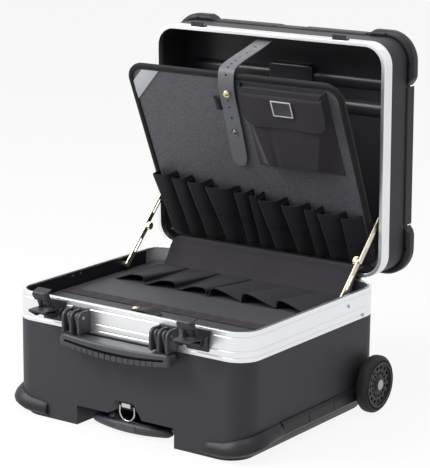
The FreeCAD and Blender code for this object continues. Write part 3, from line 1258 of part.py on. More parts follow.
# Cloth that hides the hinge, from behind the base panel to the foot of the pallet
gusset_depth = half_depth - s.gusset_front
gusset_points = [
    (gusset_depth, panel_low), (gusset_depth, hinge_height + s.gusset_thick * 2),
    (hinge_depth - s.gusset_thick, hinge_height + s.gusset_rise + s.gusset_thick * 2),
    (hinge_depth + s.gusset_reach, hinge_height + s.gusset_rise + s.gusset_thick * 3)]
gusset_route = [Vector(0, float(depth), float(height)) for depth, height in gusset_points]
ribbon("hinge_gusset", gusset_route, s.gusset_thick, half_width - s.gusset_side, zero)

# Strap from the lid's rim over the top of the pallet and down its face
strap_face = float(pallet_face - s.binding_thick - s.seat_gap * 2)
strap_top = PALLET.multVec(Vector(0, float(board_front - s.strap_thick), strap_face))
strap_foot = PALLET.multVec(Vector(0, float(board_front + s.strap_length), strap_face))
strap_hem = half_depth - s.flange_width - s.strap_thick * 3
strap_lid = LID_OPEN.multVec(Vector(0, -float(strap_hem), float(lid_low + s.lid_rim_band / 2)))
span = strap_lid - strap_top
arch = Vector(0, 0, float(s.strap_arch))
span_shares = (0.07, 0.16, 0.28, 0.42, 0.58, 0.76)
strap_route = [strap_foot, strap_top]
strap_route += [strap_top + span * share + arch * math.sin(math.pi * share) for share in span_shares]
strap_route.append(strap_lid)
ribbon("pallet_strap", strap_route, s.strap_thick, s.strap_width / 2, -s.strap_place)

# Rivets of the stays and the hinge, on the outside of the base rim
rivets = []
for rivet_depth, rivet_drop in ((stay_base_depth + s.rivet_set, s.rivet_drop),
                                (half_depth - s.rivet_set_low, s.rivet_drop_low)):
    rivet = new_body("rim_rivet")
    rivet_head = sketch(rivet, "YZ_Plane", half_width)
    circle(rivet_head, rivet_depth, s.base_height - rivet_drop, s.rivet_radius)
    pad(rivet, rivet_head, s.rivet_height)
    rivets += [rivet, mirror_of("rim_rivet_left", rivet)]
rim_rivets = doc.addObject("Part::Compound", "rim_rivets")
rim_rivets.Links = rivets
part("rim_rivets", rim_rivets)

doc.recompute()
for item in doc.Objects:
    if "Invalid" in item.State or "Error" in item.State:
        raise ValueError(f"{item.Label} of {[user.Label for user in item.InList]} failed: {item.State}")
for name, piece in nodes.items():
    if piece.Shape.isNull() or not piece.Shape.isValid() or not piece.Shape.Solids:
        raise ValueError(f"{name} has no sound solid")
for name, piece in nodes.items():
    piece.Shape.exportStep(f"parts/{name}.step")
print(len(nodes), "nodes, elbow of the shut stay at", round(elbow_shut.y, 1), round(elbow_shut.z, 1))
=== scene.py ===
"""Rolling tool case, open, on a pale studio floor. Lengths are metres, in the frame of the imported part."""
import math
import bpy
from mathutils import Matrix, Quaternion, Vector


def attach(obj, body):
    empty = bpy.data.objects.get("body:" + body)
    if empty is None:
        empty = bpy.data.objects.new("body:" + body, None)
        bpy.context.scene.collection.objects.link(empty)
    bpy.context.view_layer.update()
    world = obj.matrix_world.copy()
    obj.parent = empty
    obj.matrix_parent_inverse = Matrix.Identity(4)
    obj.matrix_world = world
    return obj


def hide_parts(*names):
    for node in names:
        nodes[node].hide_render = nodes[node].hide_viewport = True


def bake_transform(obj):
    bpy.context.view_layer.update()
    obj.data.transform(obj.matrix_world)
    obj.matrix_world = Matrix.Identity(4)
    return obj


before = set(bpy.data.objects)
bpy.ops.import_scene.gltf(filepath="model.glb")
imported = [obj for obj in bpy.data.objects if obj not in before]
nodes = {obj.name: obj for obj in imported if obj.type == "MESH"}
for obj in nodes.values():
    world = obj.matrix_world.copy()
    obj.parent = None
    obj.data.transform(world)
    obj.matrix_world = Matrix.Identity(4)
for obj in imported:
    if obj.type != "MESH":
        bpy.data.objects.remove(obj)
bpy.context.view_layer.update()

# Studio: a long lens at the height of a person's chest, to the right of the case's front.
# The floor and the backdrop are white to the eye, and the floor keeps a faint shadow.
camera_target, camera_roll, lamp_target = Vector((0, 0, 0.24)), 0.0076, Vector((0, 0, 0.25))
lamps = (((-1.7, -1.6, 2.2), 1.5, 92), ((2.0, -0.5, 1.9), 1.2, 2), ((0.1, -0.3, 2.6), 1.3, 28))
floor_size, floor_white_share = 14, 0.9
scene = bpy.context.scene
scene.view_settings.view_transform = "Standard"
bpy.ops.object.camera_add(location=(1.8646, -2.6059, 1.0477))
camera = bpy.context.object
sight = camera_target - camera.location
camera.rotation_mode = "QUATERNION"
camera.rotation_quaternion = sight.to_track_quat("-Z", "Y") @ Quaternion((0, 0, 1), camera_roll)
camera.data.sensor_width = 36
camera.data.lens = 149.0
camera.data.shift_x = 0.0366
camera.data.shift_y = 0.0801
camera.data.clip_end = 50
scene.camera = camera


def worked_out(tree, operation, *terms):
    """The result of a sum in a node tree. Its terms are outputs of other nodes, or numbers with a point."""
    node = tree.nodes.new("ShaderNodeMath")
    node.operation = operation
    for socket, term in zip(node.inputs, terms):
        if isinstance(term, float):
            socket.default_value = term
        else:
            tree.links.new(term, socket)
    return node.outputs[0]


def white_to_the_eye(tree, light_shader, share):
    """Mixes plain white into what the eye, a mirror or a lens sees, and leaves the light as it is."""
    rays = tree.nodes.new("ShaderNodeLightPath").outputs
    seen = worked_out(tree, "MAXIMUM", rays["Is Camera Ray"], rays["Is Transmission Ray"])
    seen = worked_out(tree, "MAXIMUM", seen, rays["Is Glossy Ray"])
    white = tree.nodes.new("ShaderNodeEmission" if light_shader.type != "BACKGROUND" else "ShaderNodeBackground")
    white.inputs["Color"].default_value = (1, 1, 1, 1)
    white.inputs["Strength"].default_value = 1
    mix = tree.nodes.new("ShaderNodeMixShader")
    for socket, source in zip(mix.inputs, (worked_out(tree, "MULTIPLY", seen, share), light_shader.outputs[0],
                                           white.outputs[0])):
        tree.links.new(source, socket)
    end = next(node for node in tree.nodes if node.type in ("OUTPUT_MATERIAL", "OUTPUT_WORLD"))
    tree.links.new(mix.outputs[0], end.inputs["Surface"])


bpy.ops.mesh.primitive_grid_add(x_subdivisions=4, y_subdivisions=4, size=floor_size, location=(0, 0, 0))
floor = bpy.context.object
floor.name = "studio_floor"
paper = bpy.data.materials.new("floor_paper")
paper.use_nodes = True
paper_shader = paper.node_tree.nodes["Principled BSDF"]
paper_shader.inputs["Base Color"].default_value = (0.86, 0.86, 0.86, 1)
paper_shader.inputs["Roughness"].default_value = 0.9
white_to_the_eye(paper.node_tree, paper_shader, floor_white_share)
floor.data.materials.append(paper)
world = bpy.data.worlds.new("studio_air")
scene.world = world
world.use_nodes = True
air = world.node_tree.nodes["Background"]
air.inputs["Color"].default_value = (0.93, 0.96, 1.0, 1)
air.inputs["Strength"].default_value = 0.26
white_to_the_eye(world.node_tree, air, 1.0)
for place, size, power in lamps:
    bpy.ops.object.light_add(type="AREA", location=place)
    lamp = bpy.context.object
    lamp.data.size = size
    lamp.data.energy = power
    lamp.rotation_mode = "QUATERNION"
    lamp.rotation_quaternion = (lamp_target - Vector(place)).to_track_quat("-Z", "Y")


# Shells of base and lid: thick moulded charcoal plastic with a pebbled skin.
# The cover of the trolley's trough under the floor is the same plastic.
def new_finish(name):
    """A new material, with its node tree, its shader and its texture coordinates."""
    material = bpy.data.materials.new(name)
    material.use_nodes = True
    tree = material.node_tree
    return material, tree, tree.nodes["Principled BSDF"], tree.nodes.new("ShaderNodeTexCoord").outputs


def clouds(tree, coords, scale, detail):
    """Soft noise over a surface, from 0 to 1."""
    noise = tree.nodes.new("ShaderNodeTexNoise")
    noise.inputs["Scale"].default_value = scale
    noise.inputs["Detail"].default_value = detail
    tree.links.new(coords, noise.inputs["Vector"])
    return noise.outputs["Fac"]


def uneven_tone(tree, shader, share, colour, spread):
    """A colour that a share makes darker or paler by up to a spread."""
    tone = tree.nodes.new("ShaderNodeMixRGB")
    for end, factor in (("Color1", 1 - spread), ("Color2", 1 + spread)):
        tone.inputs[end].default_value = (*[part * factor for part in colour], 1)
    tree.links.new(share, tone.inputs["Fac"])
    tree.links.new(tone.outputs["Color"], shader.inputs["Base Color"])


def uneven_gloss(tree, shader, share, least, most):
    """A roughness that goes from least to most with a share."""
    gloss = tree.nodes.new("ShaderNodeMapRange")
    gloss.inputs["To Min"].default_value = least
    gloss.inputs["To Max"].default_value = most
    tree.links.new(share, gloss.inputs["Value"])
    tree.links.new(gloss.outputs["Result"], shader.inputs["Roughness"])


def relief(tree, shader, height, strength, depth):
    """Fine relief of a given depth."""
    bump = tree.nodes.new("ShaderNodeBump")
    bump.inputs["Strength"].default_value = strength
    bump.inputs["Distance"].default_value = depth
    tree.links.new(height, bump.inputs["Height"])
    tree.links.new(bump.outputs["Normal"], shader.inputs["Normal"])


def moulded(name, colour, roughness, pebble, depth):
    """Moulded plastic: pebbled skin, slightly uneven in tone and gloss. Pebble is the size of a pebble."""
    material, tree, shader, coords = new_finish(name)
    cells = tree.nodes.new("ShaderNodeTexVoronoi")
    cells.feature = "SMOOTH_F1"
    cells.inputs["Scale"].default_value = 1 / pebble
    tree.links.new(coords["Object"], cells.inputs["Vector"])
    mottle = clouds(tree, coords["Object"], 9, 5)
    uneven_tone(tree, shader, mottle, colour, 0.14)
    uneven_gloss(tree, shader, mottle, roughness - 0.06, roughness + 0.06)
    relief(tree, shader, cells.outputs["Distance"], 0.6, depth)
    shader.inputs["Specular IOR Level"].default_value = 0.28
    return material


def dress(names, material, edge):
    """Gives CAD pieces their finish, and eases their sharp edges by a real edge radius."""
    for name in names.split():
        piece = nodes[name]
        piece.data.materials.clear()
        piece.data.materials.append(material)
        for face in piece.data.polygons:
            face.use_smooth = True
        weld = piece.modifiers.new("weld", "WELD")
        weld.merge_threshold = 1e-5
        ease = piece.modifiers.new("ease", "BEVEL")
        ease.width = edge
        ease.segments = 2
        ease.limit_method = "ANGLE"
        ease.angle_limit = math.radians(35)
        ease.use_clamp_overlap = True
        piece.modifiers.new("shade", "WEIGHTED_NORMAL")


charcoal = moulded("charcoal_shell", (0.035, 0.0352, 0.04), 0.52, 0.0016, 0.00025)
dress("base_shell lid_shell trolley_cover", charcoal, 0.0015)


# Aluminium rims of base and lid: drawn profiles with fine lines along their length.
# The lid's lines are turned with the open lid.
def bands(tree, coords, direction, pitch, waver):
    """Even bands a given pitch apart, from 0 to 1."""
    wave = tree.nodes.new("ShaderNodeTexWave")
    wave.bands_direction = direction
    wave.inputs["Scale"].default_value = math.pi / pitch / 10
    wave.inputs["Distortion"].default_value = waver
    tree.links.new(coords, wave.inputs["Vector"])
    return wave.outputs["Fac"]


def drawn_metal(name, turn):
    """Drawn aluminium with fine lines, which run level before a turn about X."""
    material, tree, shader, coords = new_finish(name)
    shader.inputs["Base Color"].default_value = (0.83, 0.84, 0.85, 1)
    shader.inputs["Metallic"].default_value = 1
    turned = tree.nodes.new("ShaderNodeMapping")
    turned.inputs["Rotation"].default_value = (turn, 0, 0)
    tree.links.new(coords["Object"], turned.inputs["Vector"])
    drawn_out = tree.nodes.new("ShaderNodeMapping")
    drawn_out.inputs["Scale"].default_value = (6, 6, 900)
    tree.links.new(turned.outputs["Vector"], drawn_out.inputs["Vector"])
    streaks = clouds(tree, drawn_out.outputs["Vector"], 1, 3)
    uneven_gloss(tree, shader, streaks, 0.28, 0.46)
    lines = bands(tree, turned.outputs["Vector"], "Z", 0.0042, 0)
    relief(tree, shader, worked_out(tree, "ADD", lines, streaks), 0.5, 0.00006)
    return material


lid_turn = math.radians(88.5)
dress("base_rim", drawn_metal("base_rim_aluminium", 0), 0.0006)
dress("lid_rim", drawn_metal("lid_rim_aluminium", lid_turn), 0.0006)

# Bumpers and strips: tough black plastic, screwed round the base's lower edge and the lid's outer edge.
# The blocks that carry the axles are the same plastic.
bumper_black = moulded("bumper_plastic", (0.015, 0.0152, 0.018), 0.46, 0.0011, 0.00014)
dress("side_strips lid_bumpers lid_strips axle_blocks", bumper_black, 0.0022)


# Front corner bumpers: moulded feet that flare out round the corners, low at the front and high at the side.
# Each is screwed on from inside, and ends against a side strip.
def pick(piece, points=(), edges=(), faces=()):
    """Selects these points, edges or faces of the active piece by number, and leaves it in edit mode."""
    bpy.ops.object.mode_set(mode="EDIT")
    bpy.ops.mesh.select_mode(type="VERT" if points else "EDGE" if edges else "FACE")
    bpy.ops.mesh.select_all(action="DESELECT")
    bpy.ops.object.mode_set(mode="OBJECT")
    for chosen, elements in ((points, piece.data.vertices), (edges, piece.data.edges), (faces, piece.data.polygons)):
        for number in chosen:
            elements[number].select = True
    bpy.ops.object.mode_set(mode="EDIT")


def push(piece, points, move, stretch=(1, 1, 1), about=(0, 0, 0)):
    """Stretches the chosen points of the active piece about a place, then moves them."""
    pick(piece, points=points)
    if stretch != (1, 1, 1):
        bpy.ops.transform.resize(value=stretch, center_override=about)
    bpy.ops.transform.translate(value=move)
    bpy.ops.object.mode_set(mode="OBJECT")


def points_where(piece, test):
    """The numbers of the points whose place passes a test."""
    return [point.index for point in piece.data.vertices if test(point.co)]


def face_out(weld=0):
    """Turns the faces of the active piece outwards, with points closer than weld made one."""
    bpy.ops.object.mode_set(mode="EDIT")
    bpy.ops.mesh.select_all(action="SELECT")
    if weld:
        bpy.ops.mesh.remove_doubles(threshold=weld)
    bpy.ops.mesh.normals_make_consistent(inside=False)
    bpy.ops.object.mode_set(mode="OBJECT")


def ease_edges(piece, width):
    """Eases the sharp edges of the active piece."""
    ease = piece.modifiers.new("ease", "BEVEL")
    ease.width = width
    ease.segments = 2
    ease.limit_method = "ANGLE"
    bpy.ops.object.modifier_apply(modifier="ease")


def gather(pieces):
    """Joins pieces into the first of them."""
    bpy.ops.object.select_all(action="DESELECT")
    for piece in pieces:
        piece.select_set(True)
    bpy.context.view_layer.objects.active = pieces[0]
    bpy.ops.object.join()
    return pieces[0]


def again(piece, move):
    """A copy of a piece with a mesh of its own, moved."""
    bpy.ops.object.select_all(action="DESELECT")
    piece.select_set(True)
    bpy.context.view_layer.objects.active = piece
    bpy.ops.object.duplicate(linked=False)
    bpy.ops.transform.translate(value=move)
    bpy.ops.object.transform_apply(location=True, rotation=True, scale=True)
    return bpy.context.object


def coat(piece, material, angle):
    """Gives the active piece its material, and shades it smooth across edges up to an angle."""
    piece.data.materials.append(material)
    bpy.ops.object.shade_smooth_by_angle(angle=math.radians(angle))


# The section's points are out from the wall and up. The shape along the bumper, at distances from its front end,
# is how far it flares, how high it stands and how far its foot is lifted, as shares.
guard_section = ((-0.002, 0.004), (0.009, 0.007), (0.0165, 0.015), (0.0170, 0.023), (0.0125, 0.033),
                 (0.0045, 0.0435), (-0.002, 0.046))
guard_shape = ((0, 0.42, 0.535, 0), (0.036, 0.62, 0.66, 0), (0.067, 0.95, 0.86, 0.12), (0.099, 0.95, 1, 0.28),
               (0.160, 0.42, 1, 0.36))
guard_start, guard_low, guard_high, quarter_turn = -0.164, 0.004, 0.046, math.pi / 2
corner_x, corner_y, corner_round = -0.200, -0.1645, 0.040
front_step, side_step, straight_steps, corner_steps = -0.009, 0.0153, 4, 7
bpy.ops.mesh.primitive_circle_add(vertices=len(guard_section), radius=0.01, fill_type="NGON", location=(0, 0, 0))
guard = bpy.context.object
guard.name = "corner_guards"
for number, (out, height) in enumerate(guard_section):
    section_place = Vector((guard_start, corner_y - corner_round - out, height))
    push(guard, [number], section_place - guard.data.vertices[number].co)
pick(guard, faces=[0])
for step in range(straight_steps):
    bpy.ops.mesh.extrude_region_move(TRANSFORM_OT_translate={"value": (front_step, 0, 0)})
bpy.ops.mesh.spin(steps=corner_steps, angle=quarter_turn, center=(corner_x, corner_y, 0), axis=(0, 0, 1))
for step in range(straight_steps):
    bpy.ops.mesh.extrude_region_move(TRANSFORM_OT_translate={"value": (0, side_step, 0)})
bpy.ops.object.mode_set(mode="OBJECT")
for number in range(len(guard.data.vertices)):
    spot = guard.data.vertices[number].co.copy()
    radial = Vector((min(spot.x - corner_x, 0), min(spot.y - corner_y, 0), 0))
    turn = math.atan2(-radial.x, -radial.y)
    along = guard_start - max(spot.x, corner_x) + turn * corner_round + max(spot.y - corner_y, 0)
    for (begin, *near), (end, *far) in zip(guard_shape, guard_shape[1:]):
        if along <= end + 1e-5:
            share = (along - begin) / (end - begin)
            flare, rise, lift = (a + (b - a) * share for a, b in zip(near, far))
            break
    out = max(radial.length - corner_round, 0)
    height = guard_low + (spot.z - guard_low) * rise
    height = guard_high - (guard_high - height) * (1 - lift)
    push(guard, [number], radial.normalized() * (out * (flare - 1)) + Vector((0, 0, height - spot.z)))
face_out()
ease_edges(guard, 0.0016)
other_guard = again(guard, (0, 0, 0))
push(other_guard, range(len(other_guard.data.vertices)), (0, 0, 0), (-1, 1, 1))
face_out()
gather([guard, other_guard])
coat(guard, bumper_black, 32)
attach(guard, "base")
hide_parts("corner_bumpers")

# Wheels: soft black tyres on moulded hubs with two rings of holes.
# They run on plated axles with a cap nut.
tyre_rubber = moulded("tyre_rubber", (0.016, 0.016, 0.017), 0.62, 0.0009, 0.0001)
dress("tyre_right tyre_left", tyre_rubber, 0.0024)
hub_plastic = moulded("hub_plastic", (0.017, 0.017, 0.0195), 0.42, 0.0012, 0.00008)
dress("hub_right hub_left", hub_plastic, 0.0007)


def plated(name, colour, roughness, grain):
    """Plated steel with a faint uneven gloss, as after tumbling or turning."""
    material, tree, shader, coords = new_finish(name)
    shader.inputs["Base Color"].default_value = (*colour, 1)
    shader.inputs["Metallic"].default_value = 1
    mottle = clouds(tree, coords["Object"], grain, 6)
    uneven_gloss(tree, shader, mottle, roughness * 0.6, roughness * 1.4)
    relief(tree, shader, mottle, 0.12, 0.0001)
    return material


zinc = plated("zinc_plate", (0.36, 0.365, 0.37), 0.28, 260)
dress("axles handle_pins rim_rivets hinge_leaf_base hinge_leaf_lid hinge_pin pallet_pivots", zinc, 0.0004)

# Trolley: plated telescopic tubes in saddles under the floor, a bowed black grip and a grey release button.
# The grip is a round moulded bar, thickest in its middle, with a neck to each inner tube.
# The tubes' steel is painted darker than the zinc, as painted shade inside the trough under the floor.
shaded_tube_steel = plated("shaded_tube_steel", (0.16, 0.16, 0.165), 0.34, 260)
dress("trolley_outer_tubes trolley_middle_tubes trolley_inner_tubes", shaded_tube_steel, 0.0002)
dress("tube_clamps", bumper_black, 0.003)


def rod(name, radius, length, place, turn, sides):
    """A round bar about a place, turned from upright."""
    bpy.ops.mesh.primitive_cylinder_add(vertices=sides, radius=radius, depth=length, location=place, rotation=turn)
    made = bpy.context.object
    made.name = name
    bpy.ops.object.transform_apply(location=True, rotation=True, scale=True)
    return made


def edges_along(piece, axis, least):
    """The numbers of the edges that run along an axis and are longer than least."""
    found = []
    for edge in piece.data.edges:
        run = piece.data.vertices[edge.vertices[1]].co - piece.data.vertices[edge.vertices[0]].co
        if abs(run[axis]) > least and abs(run[axis]) > 0.99 * run.length:
            found.append(edge.index)
    return found


def cut_across(piece, least, cuts):
    """Cuts a bar into stations along X, and gives the points of each station with its place."""
    pick(piece, edges=edges_along(piece, 0, least))
    bpy.ops.mesh.subdivide(number_cuts=cuts)
    bpy.ops.object.mode_set(mode="OBJECT")
    stations = {}
    for point in piece.data.vertices:
        stations.setdefault(round(point.co.x, 4), []).append(point.index)
    return sorted(stations.items())


grip_half, grip_radius, grip_depth, grip_height, grip_bow = 0.0820, 0.0095, -0.1945, 0.0138, 0.012
end_share, end_bulge, grip_taper = 0.88, 0.0178, 0.3
neck_side, neck_depth, neck_height, neck_long, neck_radius = 0.065, -0.17725, 0.017, 0.0215, 0.0060
grip = rod("trolley_bar", grip_radius, grip_half * 2, (0, 0, grip_height), (0, quarter_turn, 0), 32)
for across, ring in cut_across(grip, 0.1, 27):
    far = abs(across) / grip_half
    girth = (1 - grip_taper * far ** 2) * math.sqrt(max(1 - max(far - end_share, 0) ** 2 / end_bulge, 0.12))
    push(grip, ring, (0, grip_depth + grip_bow * far ** 2, 0), (1, girth, girth), (across, 0, grip_height))
for side in (1, -1):
    neck = rod("neck", neck_radius, neck_long, (neck_side * side, neck_depth, neck_height), (quarter_turn, 0, 0), 24)
    root = points_where(neck, lambda spot: spot.y < neck_depth)
    push(neck, root, (0, 0, grip_height - neck_height), (1.3, 1, 0.9),
         (neck_side * side, neck_depth - neck_long / 2, neck_height))
    gather([grip, neck])
coat(grip, moulded("grip_plastic", (0.045, 0.047, 0.055), 0.4, 0.001, 0.00006), 45)
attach(grip, "trolley")
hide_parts("trolley_grip")
button_grey = moulded("button_plastic", (0.075, 0.077, 0.084), 0.4, 0.001, 0.00006)
dress("trolley_button", button_grey, 0.0012)

# Pull ring: a thin bright wire D that hangs in a sheet clip, in the notch above the trolley grip.
# It is a ring whose upper part is flattened up to the clip.
chrome = plated("bright_chrome", (0.55, 0.55, 0.56), 0.2, 180)
dress("ring_clip", chrome, 0.0003)
ring_depth, ring_height, ring_pivot, ring_radius, wire_half = -0.1975, 0.0402, 0.052, 0.0152, 0.0013
flat_above, flat_share = 0.0404, 0.16
bpy.ops.mesh.primitive_torus_add(major_radius=ring_radius, minor_radius=wire_half, major_segments=40, minor_segments=12,
                                 location=(0, ring_depth, ring_height), rotation=(quarter_turn, 0, 0))
wire = bpy.context.object
wire.name = "pull_ring"
bpy.ops.object.transform_apply(location=True, rotation=True, scale=True)
push(wire, points_where(wire, lambda spot: spot.z > flat_above),
     (0, 0, ring_pivot - flat_above - ring_radius * flat_share), (1, 1, flat_share), (0, ring_depth, flat_above))
coat(wire, chrome, 60)
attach(wire, "pull_ring")
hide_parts("d_ring")

# Carry handle: a moulded bail with a bowed finger groove and a row of grip blocks, which turns on steel pins.
# Its four arms stand between the fins of two brackets, which are riveted to the rim.
handle_plastic = moulded("handle_plastic", (0.056, 0.057, 0.063), 0.42, 0.0008, 0.00006)
bail_half, bail_back, bail_front, bail_top, bail_low = 0.1125, -0.2115, -0.2355, 0.1655, 0.1440
bow_half, bow_height, low_bow, front_bow = 0.1, 0.155, 0.0085, 0.0045
slot_half, slot_low, slot_high, slot_deep, slot_bow = 0.1020, 0.1520, 0.1578, 0.009, 0.0072
slot_bow_half, slot_ends, cut_past, touch = 0.103, 0.7, 0.004, 0.0005
gap_first, gap_wide, gap_low, gap_high, gap_deep = -0.0779, 0.0018, 0.1300, 0.1452, 0.0045
gap_pitch, gap_rise, gap_count = 0.0121, 0.005, 14
pin_depth, pin_height, bracket_place, fin_pitch = -0.2235, 0.195, 0.0900, 0.0163
arm_side, arm_thick, arm_half, arm_low, arm_foot, arm_set_back = 0.0781, 0.0057, 0.0075, 0.1575, 0.17, 0.0105
fin_half, fin_front, wall_face, fin_low, fin_high = 0.0025, -0.2340, -0.2045, 0.1670, 0.2050
plate_half, plate_front, plate_low, plate_high = 0.0198, -0.2085, 0.1640, 0.2075


def block(name, low, high):
    """A box between two corners, its sides cut to size in the mesh."""
    bpy.ops.mesh.primitive_cube_add(size=1, location=[(a + b) / 2 for a, b in zip(low, high)])
    made = bpy.context.object
    made.name = name
    made.scale = [b - a for a, b in zip(low, high)]
    bpy.ops.object.transform_apply(location=True, rotation=True, scale=True)
    return made


def round_off(piece, edges, width, steps):
    """Rounds the chosen edges of the active piece."""
    pick(piece, edges=edges)
    bpy.ops.mesh.bevel(offset=width, segments=steps)
    bpy.ops.object.mode_set(mode="OBJECT")


def edges_where(piece, test):
    """The numbers of the edges both of whose ends pass a test."""
    passed = set(points_where(piece, test))
    return [edge.index for edge in piece.data.edges if passed.issuperset(edge.vertices)]


def edges_level(piece, axis):
    """The numbers of the edges whose ends lie equally far along an axis."""
    return [edge.index for edge in piece.data.edges
            if len({round(piece.data.vertices[end].co[axis], 4) for end in edge.vertices}) == 1]


def cut_away(piece, tool):
    """Takes a tool's shape out of a piece, and clears the tool away."""
    bpy.ops.object.select_all(action="DESELECT")
    piece.select_set(True)
    bpy.context.view_layer.objects.active = piece
    cut = piece.modifiers.new("cut", "BOOLEAN")
    cut.operation = "DIFFERENCE"
    cut.object = tool
    bpy.ops.object.modifier_apply(modifier="cut")
    bpy.ops.object.select_all(action="DESELECT")
    tool.select_set(True)
    bpy.ops.object.delete()
    piece.select_set(True)
    bpy.context.view_layer.objects.active = piece


def sag(across, half):
    """The share of a bow at a place across it: 1 in the middle and 0 at its ends."""
    return 1 - min(abs(across) / half, 1) ** 2


bail = block("carry_bail", (-bail_half, bail_front, bail_low), (bail_half, bail_back, bail_top))
round_off(bail, edges_along(bail, 1, 0.02), 0.0085, 5)
round_off(bail, edges_level(bail, 1), 0.0042, 3)
for across, ring in cut_across(bail, 0.15, 25):
    low_ring = [number for number in ring if bail.data.vertices[number].co.z < bow_height]
    front_ring = [number for number in ring
                  if bail.data.vertices[number].co.z > bow_height and bail.data.vertices[number].co.y < pin_depth]
    for points, bow in ((low_ring, low_bow), (front_ring, front_bow)):
        if points:
            push(bail, points, (0, 0, -bow * sag(across, bow_half)))
finger_slot = block("finger_slot", (-slot_half, bail_front - cut_past, slot_low),
                    (slot_half, bail_front + slot_deep, slot_high))
for across, ring in cut_across(finger_slot, 0.15, 25):
    push(finger_slot, ring, (0, 0, -slot_bow * sag(across, bow_half)),
         (1, 1, slot_ends + (1 - slot_ends) * sag(across, slot_bow_half)), (across, 0, (slot_low + slot_high) / 2))
cut_away(bail, finger_slot)
gap = block("rib_gap", (gap_first - gap_wide / 2, bail_front - cut_past, gap_low),
            (gap_first + gap_wide / 2, bail_front + gap_deep, gap_high))
gaps = [gap]
for number in range(1, gap_count):
    across = gap_pitch * number
    gaps.append(again(gap, (across, 0, gap_rise * (1 - sag(gap_first + across, bow_half)))))
cut_away(bail, gather(gaps))
arm = block("arm", (arm_side, pin_depth - arm_half, arm_low),
            (arm_side + arm_thick, pin_depth + arm_half, pin_height + arm_half))
arm_top = edges_where(arm, lambda spot: spot.z > pin_height)
round_off(arm, [number for number in edges_along(arm, 0, 0.004) if number in arm_top], 0.0074, 7)
round_off(arm, edges_level(arm, 0), 0.0016, 2)
push(arm, points_where(arm, lambda spot: spot.y < pin_depth and spot.z < arm_foot), (0, arm_set_back, 0))
to_left = -2 * arm_side - arm_thick
gather([bail, arm] + [again(arm, (move, 0, 0)) for move in (fin_pitch, to_left, to_left - fin_pitch)])
coat(bail, handle_plastic, 38)
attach(bail, "carry_handle")
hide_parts("carry_handle")
fin = block("handle_fins", (bracket_place - fin_half, fin_front, fin_low),
            (bracket_place + fin_half, wall_face, fin_high))
round_off(fin, edges_where(fin, lambda spot: spot.z > fin_high - touch and spot.y < fin_front + touch), 0.0125, 8)
round_off(fin, edges_where(fin, lambda spot: spot.z < fin_low + touch and spot.y < fin_front + touch), 0.004, 3)
round_off(fin, edges_level(fin, 0), 0.0014, 2)
back_plate = block("back_plate", (bracket_place - plate_half, plate_front, plate_low),
                   (bracket_place + plate_half, wall_face, plate_high))
round_off(back_plate, edges_along(back_plate, 1, 0.003), 0.006, 4)
round_off(back_plate, edges_where(back_plate, lambda spot: spot.y < plate_front + touch), 0.0016, 2)
bracket = gather([fin, again(fin, (fin_pitch, 0, 0)), again(fin, (-fin_pitch, 0, 0)), back_plate])
bracket = gather([bracket, again(bracket, (-2 * bracket_place, 0, 0))])
coat(bracket, handle_plastic, 38)
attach(bracket, "base")
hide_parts("handle_brackets")

# Latches: moulded plates, levers and hooks on the base's rim.
# The black catches that the hooks take hold of are on the lid's rim.
latch_plastic = moulded("latch_plastic", (0.03, 0.0305, 0.034), 0.42, 0.0008, 0.00006)
dress("latch_plate_right latch_plate_left lid_catches", latch_plastic, 0.0006)
dress("latch_lever_right latch_lever_left", latch_plastic, 0.0012)
dress("latch_hook_right latch_hook_left", latch_plastic, 0.0014)

# Lid stays: flat nickel links with a slot, which fold between posts in base and lid.
# A knurled knob holds them together at the elbow.
nickel = plated("stay_nickel", (0.6, 0.545, 0.45), 0.36, 300)
dress("stay_lower_right stay_lower_left stay_upper_right stay_upper_left", nickel, 0.0004)
dress("stay_posts_base stay_posts_lid", nickel, 0.0004)
dress("stay_knob_right stay_knob_left", nickel, 0.0008)

# Lid liner: one black plastic sheet, vacuum formed over humps and ridges, glossy.
# It sits inside the lid's shell, and its edge is caught under the lid's rim.
liner_gloss = moulded("liner_sheet", (0.034, 0.0315, 0.037), 0.3, 0.003, 0.00005)
dress("lid_liner", liner_gloss, 0.004)


# Boards: the base panel and the lid's pallet, stiff dark-grey board with a pale-speckled grain.
# The panel rests on the feet of two black side plates. The pallet hangs on pins in the lid.
def speckled(name, dark, pale):
    """Stiff board with a fine speckle between two tones."""
    material, tree, shader, coords = new_finish(name)
    shader.inputs["Roughness"].default_value = 0.6
    speckle = clouds(tree, coords["Object"], 620, 3)
    tone = tree.nodes.new("ShaderNodeValToRGB")
    for element, position, colour in zip(tone.color_ramp.elements, (0.36, 0.66), (dark, pale)):
        element.position = position
        element.color = (*colour, 1)
    tree.links.new(speckle, tone.inputs["Fac"])
    tree.links.new(tone.outputs["Color"], shader.inputs["Base Color"])
    relief(tree, shader, speckle, 0.5, 0.0004)
    return material


# Both are one board in two tones: the pallet's copy is painted lighter and the panel's darker, as painted light and
# painted shade.
dress("pallet_board", speckled("speckled_board_painted_light", (0.04, 0.04, 0.047), (0.118, 0.119, 0.138)), 0.0006)
dress("base_panel", speckled("panel_board_painted_shade", (0.022, 0.0222, 0.026), (0.07, 0.071, 0.082)), 0.0006)
dress("side_plates", bumper_black, 0.0004)
rivet_face, rivet_depth, rivet_height, rivet_pitch = -0.2346, -0.0489, 0.2066, 0.0209
rivets = rod("plate_rivets", 0.0024, 0.0016, (rivet_face, rivet_depth, rivet_height), (0, quarter_turn, 0), 20)
round_off(rivets, edges_where(rivets, lambda spot: spot.x > rivet_face), 0.0007, 2)
gather([rivets, again(rivets, (0, rivet_pitch, 0))])
coat(rivets, zinc, 40)
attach(rivets, "base")


